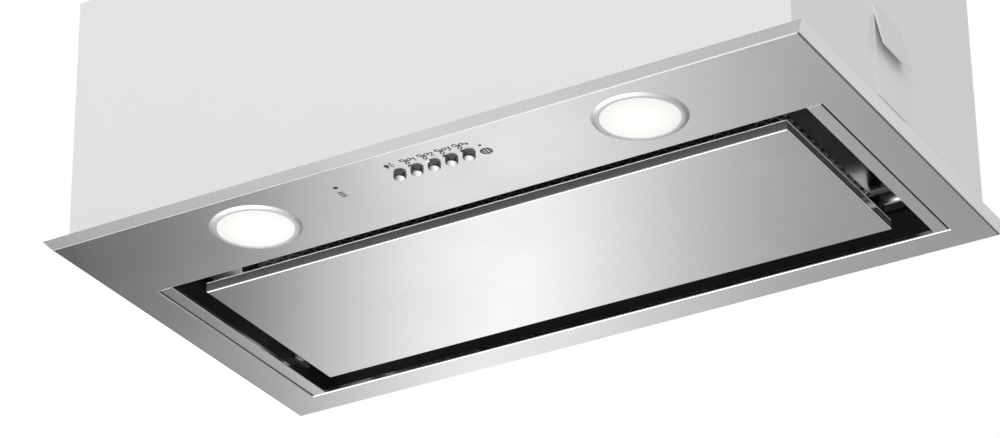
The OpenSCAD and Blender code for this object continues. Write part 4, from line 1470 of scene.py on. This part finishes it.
@dataclass
class Blower(SubAssembly):
    """The casing, impeller and motor."""

    edge: float = 0.3 * MM
    casing_edge: float = 0.4 * MM

    def dress(self) -> None:
        """Dresses the pieces of the blower."""
        self.shop.dress(["scroll_left", "scroll_right"], BOOK.casing, self.casing_edge)
        self.shop.dress(["impeller"], BOOK.casing, 0.0)
        steel = ["motor", "motor_shaft", "motor_bracket", "blower_screws"]
        self.shop.dress(steel, BOOK.zinc, self.edge)
        self.shop.dress(["motor_bushes", "outlet_seal"], BOOK.rubber, self.edge)


@dataclass
class DuctOutlet(SubAssembly):
    """The collar with its two damper flaps."""

    radius: float = 59.5 * MM
    ring_drops: tuple[float, ...] = (8.0 * MM, 16.0 * MM)
    ring_sunk: float = 0.1 * MM
    ring_out: float = 0.45 * MM
    ring_foot: float = 1.2 * MM
    ring_crest: float = 0.5 * MM
    ring_steps: int = 96

    def dress(self) -> None:
        """Dresses the collar, the flaps and the pin."""
        self.shop.dress(["duct_collar"], BOOK.black, 0.5 * MM)
        self.shop.dress(["flap_left", "flap_right"], BOOK.casing, 0.2 * MM)
        self.shop.dress(["damper_pin", "lid_screws"], BOOK.zinc, 0.2 * MM)
        self._rings()

    def _rings(self) -> None:
        """Adds the two rings that hold the duct's clamp."""
        top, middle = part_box("duct_collar")[1].z, centre_of("duct_collar")
        inner, outer = self.radius - self.ring_sunk, self.radius + self.ring_out
        foot, crest = self.ring_foot, self.ring_crest
        profile = [(inner, -foot), (outer, -crest), (outer, crest), (inner, foot), (inner, -foot)]
        form = Form()
        for drop in self.ring_drops:
            form.lathe(profile, Vector((middle.x, middle.y, top - drop)), UP, self.ring_steps)
        self.shop.hang("clamp_rings", form, BOOK.black)


@dataclass
class Studio:
    """The camera, the light and the pale surroundings.

    The tent and the under ramp are light levels by direction round the horizon, which only metal
    and glass reflect. The under ramp takes over where the direction is steep enough downwards.
    """

    eye: Place = (1.0312, -1.85136, -1.1105)
    aim: Place = (-0.00305, -0.02797, 0.0)
    lens: float = 134.29
    sensor: float = 36.0
    clip: Point = (0.05, 30.0)
    roll: float = 0.739
    floor_z: float = -2.4
    floor_half: float = 40.0
    floor_grey: float = 0.82
    floor_rough: float = 0.9
    room: float = 0.72
    tent: tuple[Point, ...] = (
        (0.0, 0.6), (0.08, 0.5), (0.105, 0.3), (0.124, 0.38), (0.143, 1.1), (0.164, 0.4),
        (0.21, 0.6), (0.4, 0.6), (0.6, 0.75), (0.657, 0.85), (0.69, 0.55), (0.715, 0.12),
        (0.775, 0.12), (0.792, 0.32), (0.808, 0.36), (0.8185, 0.41), (0.825, 0.77), (0.832, 1.29),
        (0.838, 0.9), (0.8428, 0.34), (0.85, 0.12), (0.87, 0.1), (0.91, 0.4), (1.0, 0.6),
    )
    under: tuple[Point, ...] = (
        (0.0, 1.1), (0.1, 1.1), (0.16, 0.7), (0.5, 0.6), (0.8, 0.6), (0.86, 1.1), (1.0, 1.1),
    )
    under_from: float = -0.73
    under_to: float = -0.79

    def build(self) -> None:
        """Sets up the camera, the surroundings and the lamps."""
        self._camera()
        self._world()
        self._floor()
        self._lamp("Front light", (0.5, -2.4, 0.6), 1.8, 15.0)
        self._lamp("Top light", (-0.8, 1.0, 2.4), 1.8, 10.0)
        self._lamp("Under light", (-0.66, 0.1, -1.5), 1.1, 9.0)
        bpy.context.scene.view_settings.view_transform = "Standard"

    def _camera(self) -> None:
        """Places the camera below and to the right of the front."""
        data = bpy.data.cameras.new("Camera")
        data.lens, data.sensor_width = self.lens, self.sensor
        data.clip_start, data.clip_end = self.clip
        camera = bpy.data.objects.new("Camera", data)
        bpy.context.scene.collection.objects.link(camera)
        eye = Vector(self.eye)
        ahead = (Vector(self.aim) - eye).normalized()
        right = ahead.cross(UP).normalized()
        down = ahead.cross(right)
        turn = math.radians(self.roll)
        level = right * math.cos(turn) + down * math.sin(turn)
        drop = down * math.cos(turn) - right * math.sin(turn)
        basis = Matrix((level, -drop, -ahead)).transposed()
        camera.matrix_world = Matrix.Translation(eye) @ basis.to_4x4()
        bpy.context.scene.camera = camera

    @staticmethod
    def _ramp(kit: NodeTree, turn: NodeSocket, stops: Sequence[Point]) -> NodeSocket:
        """Makes a ramp of greys that goes round the horizon.

        Args:
            kit: The world's tree.
            turn: The direction, from 0 to 1 once round.
            stops: Direction and grey of each stop.

        Returns:
            The socket of the ramp's colour.
        """
        ramp = kit.add("ShaderNodeValToRGB", {"Fac": turn})
        elements = ramp.color_ramp.elements
        while len(elements) < len(stops):
            elements.new(0.5)
        for element, (position, grey) in zip(elements, stops):
            element.position = position
            element.color = (grey, grey, grey, 1.0)
        return ramp.outputs["Color"]

    def _world(self) -> None:
        """Makes a white background, a shaded backdrop for metal and an even light for the rest."""
        world = bpy.data.worlds.new("Studio")
        bpy.context.scene.world = world
        world.use_nodes = True
        kit, nodes = NodeTree(world.node_tree), world.node_tree.nodes
        even = nodes["Background"]
        kit.feed(even, {"Color": (self.room, self.room, self.room, 1.0)})
        place = kit.add("ShaderNodeTexCoord").outputs["Generated"]
        radial = kit.add("ShaderNodeTexGradient", {"Vector": place}, gradient_type="RADIAL")
        turn = radial.outputs["Fac"]
        height = kit.add("ShaderNodeSeparateXYZ", {"Vector": place}).outputs["Z"]
        below = kit.span(height, From_Min=self.under_from, From_Max=self.under_to)
        tent, under = self._ramp(kit, turn, self.tent), self._ramp(kit, turn, self.under)
        rays = kit.add("ShaderNodeLightPath").outputs
        camera, glossy, through = (
            rays[f"Is {ray} Ray"] for ray in ("Camera", "Glossy", "Transmission")
        )
        colour = kit.blend(camera, kit.blend(below, tent, under), (1.0, 1.0, 1.0, 1.0))
        backdrop = kit.add("ShaderNodeBackground", {"Color": colour})
        seen = kit.calc("MAXIMUM", kit.calc("MAXIMUM", glossy, through), camera)
        shaders = {0: seen, 1: even.outputs["Background"], 2: backdrop.outputs["Background"]}
        mix = kit.add("ShaderNodeMixShader", shaders)
        kit.feed(nodes["World Output"], {"Surface": mix.outputs["Shader"]})

    def _floor(self) -> None:
        """Lays a pale floor far below the hood, clear to whoever looks up from under it."""
        mesh = bpy.data.meshes.new("Floor")
        half, z = self.floor_half, self.floor_z
        corners = [(-half, -half, z), (half, -half, z), (half, half, z), (-half, half, z)]
        mesh.from_pydata(corners, [], [(0, 1, 2, 3)])
        floor = bpy.data.objects.new("Floor", mesh)
        bpy.context.scene.collection.objects.link(floor)
        material = bpy.data.materials.new("Pale floor")
        kit, shader = shading(material)
        grey = (self.floor_grey, self.floor_grey, self.floor_grey, 1.0)
        kit.feed(shader, {"Base Color": grey, "Roughness": self.floor_rough})
        under = kit.add("ShaderNodeNewGeometry").outputs["Backfacing"]
        clear = kit.add("ShaderNodeBsdfTransparent").outputs["BSDF"]
        mix = kit.add("ShaderNodeMixShader", {0: under, 1: shader.outputs["BSDF"], 2: clear})
        kit.feed(material.node_tree.nodes["Material Output"], {"Surface": mix.outputs["Shader"]})
        mesh.materials.append(material)
        floor.visible_glossy = False

    @staticmethod
    def _lamp(name: str, place: Place, size: float, power: float) -> None:
        """Hangs one soft lamp that looks at the hood.

        Args:
            name: The lamp's name.
            place: Where it hangs.
            size: Its width.
            power: Its power in watts.
        """
        data = bpy.data.lights.new(name, "AREA")
        data.size = size
        data.energy = power
        lamp = bpy.data.objects.new(name, data)
        bpy.context.scene.collection.objects.link(lamp)
        lamp.location = place
        lamp.rotation_mode = "QUATERNION"
        lamp.rotation_quaternion = (-Vector(place)).to_track_quat("-Z", "Y")


def main() -> None:
    """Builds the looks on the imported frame, one sub-assembly after another."""
    logging.basicConfig(level=logging.INFO, format="%(name)s: %(message)s")
    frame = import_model()
    shop = Workshop(frame)
    parts: list[SubAssembly] = [
        Face(shop), Lamp(shop, Side.LEFT), Lamp(shop, Side.RIGHT), Buttons(shop), Signs(shop),
        PerimeterPanel(shop), GreaseFilter(shop), Housing(shop), ScrewRecessShade(shop), Blower(shop),
        DuctOutlet(shop),
    ]
    for part in parts:
        part.dress()
    Studio().build()


if __name__ == "__main__":
    main()
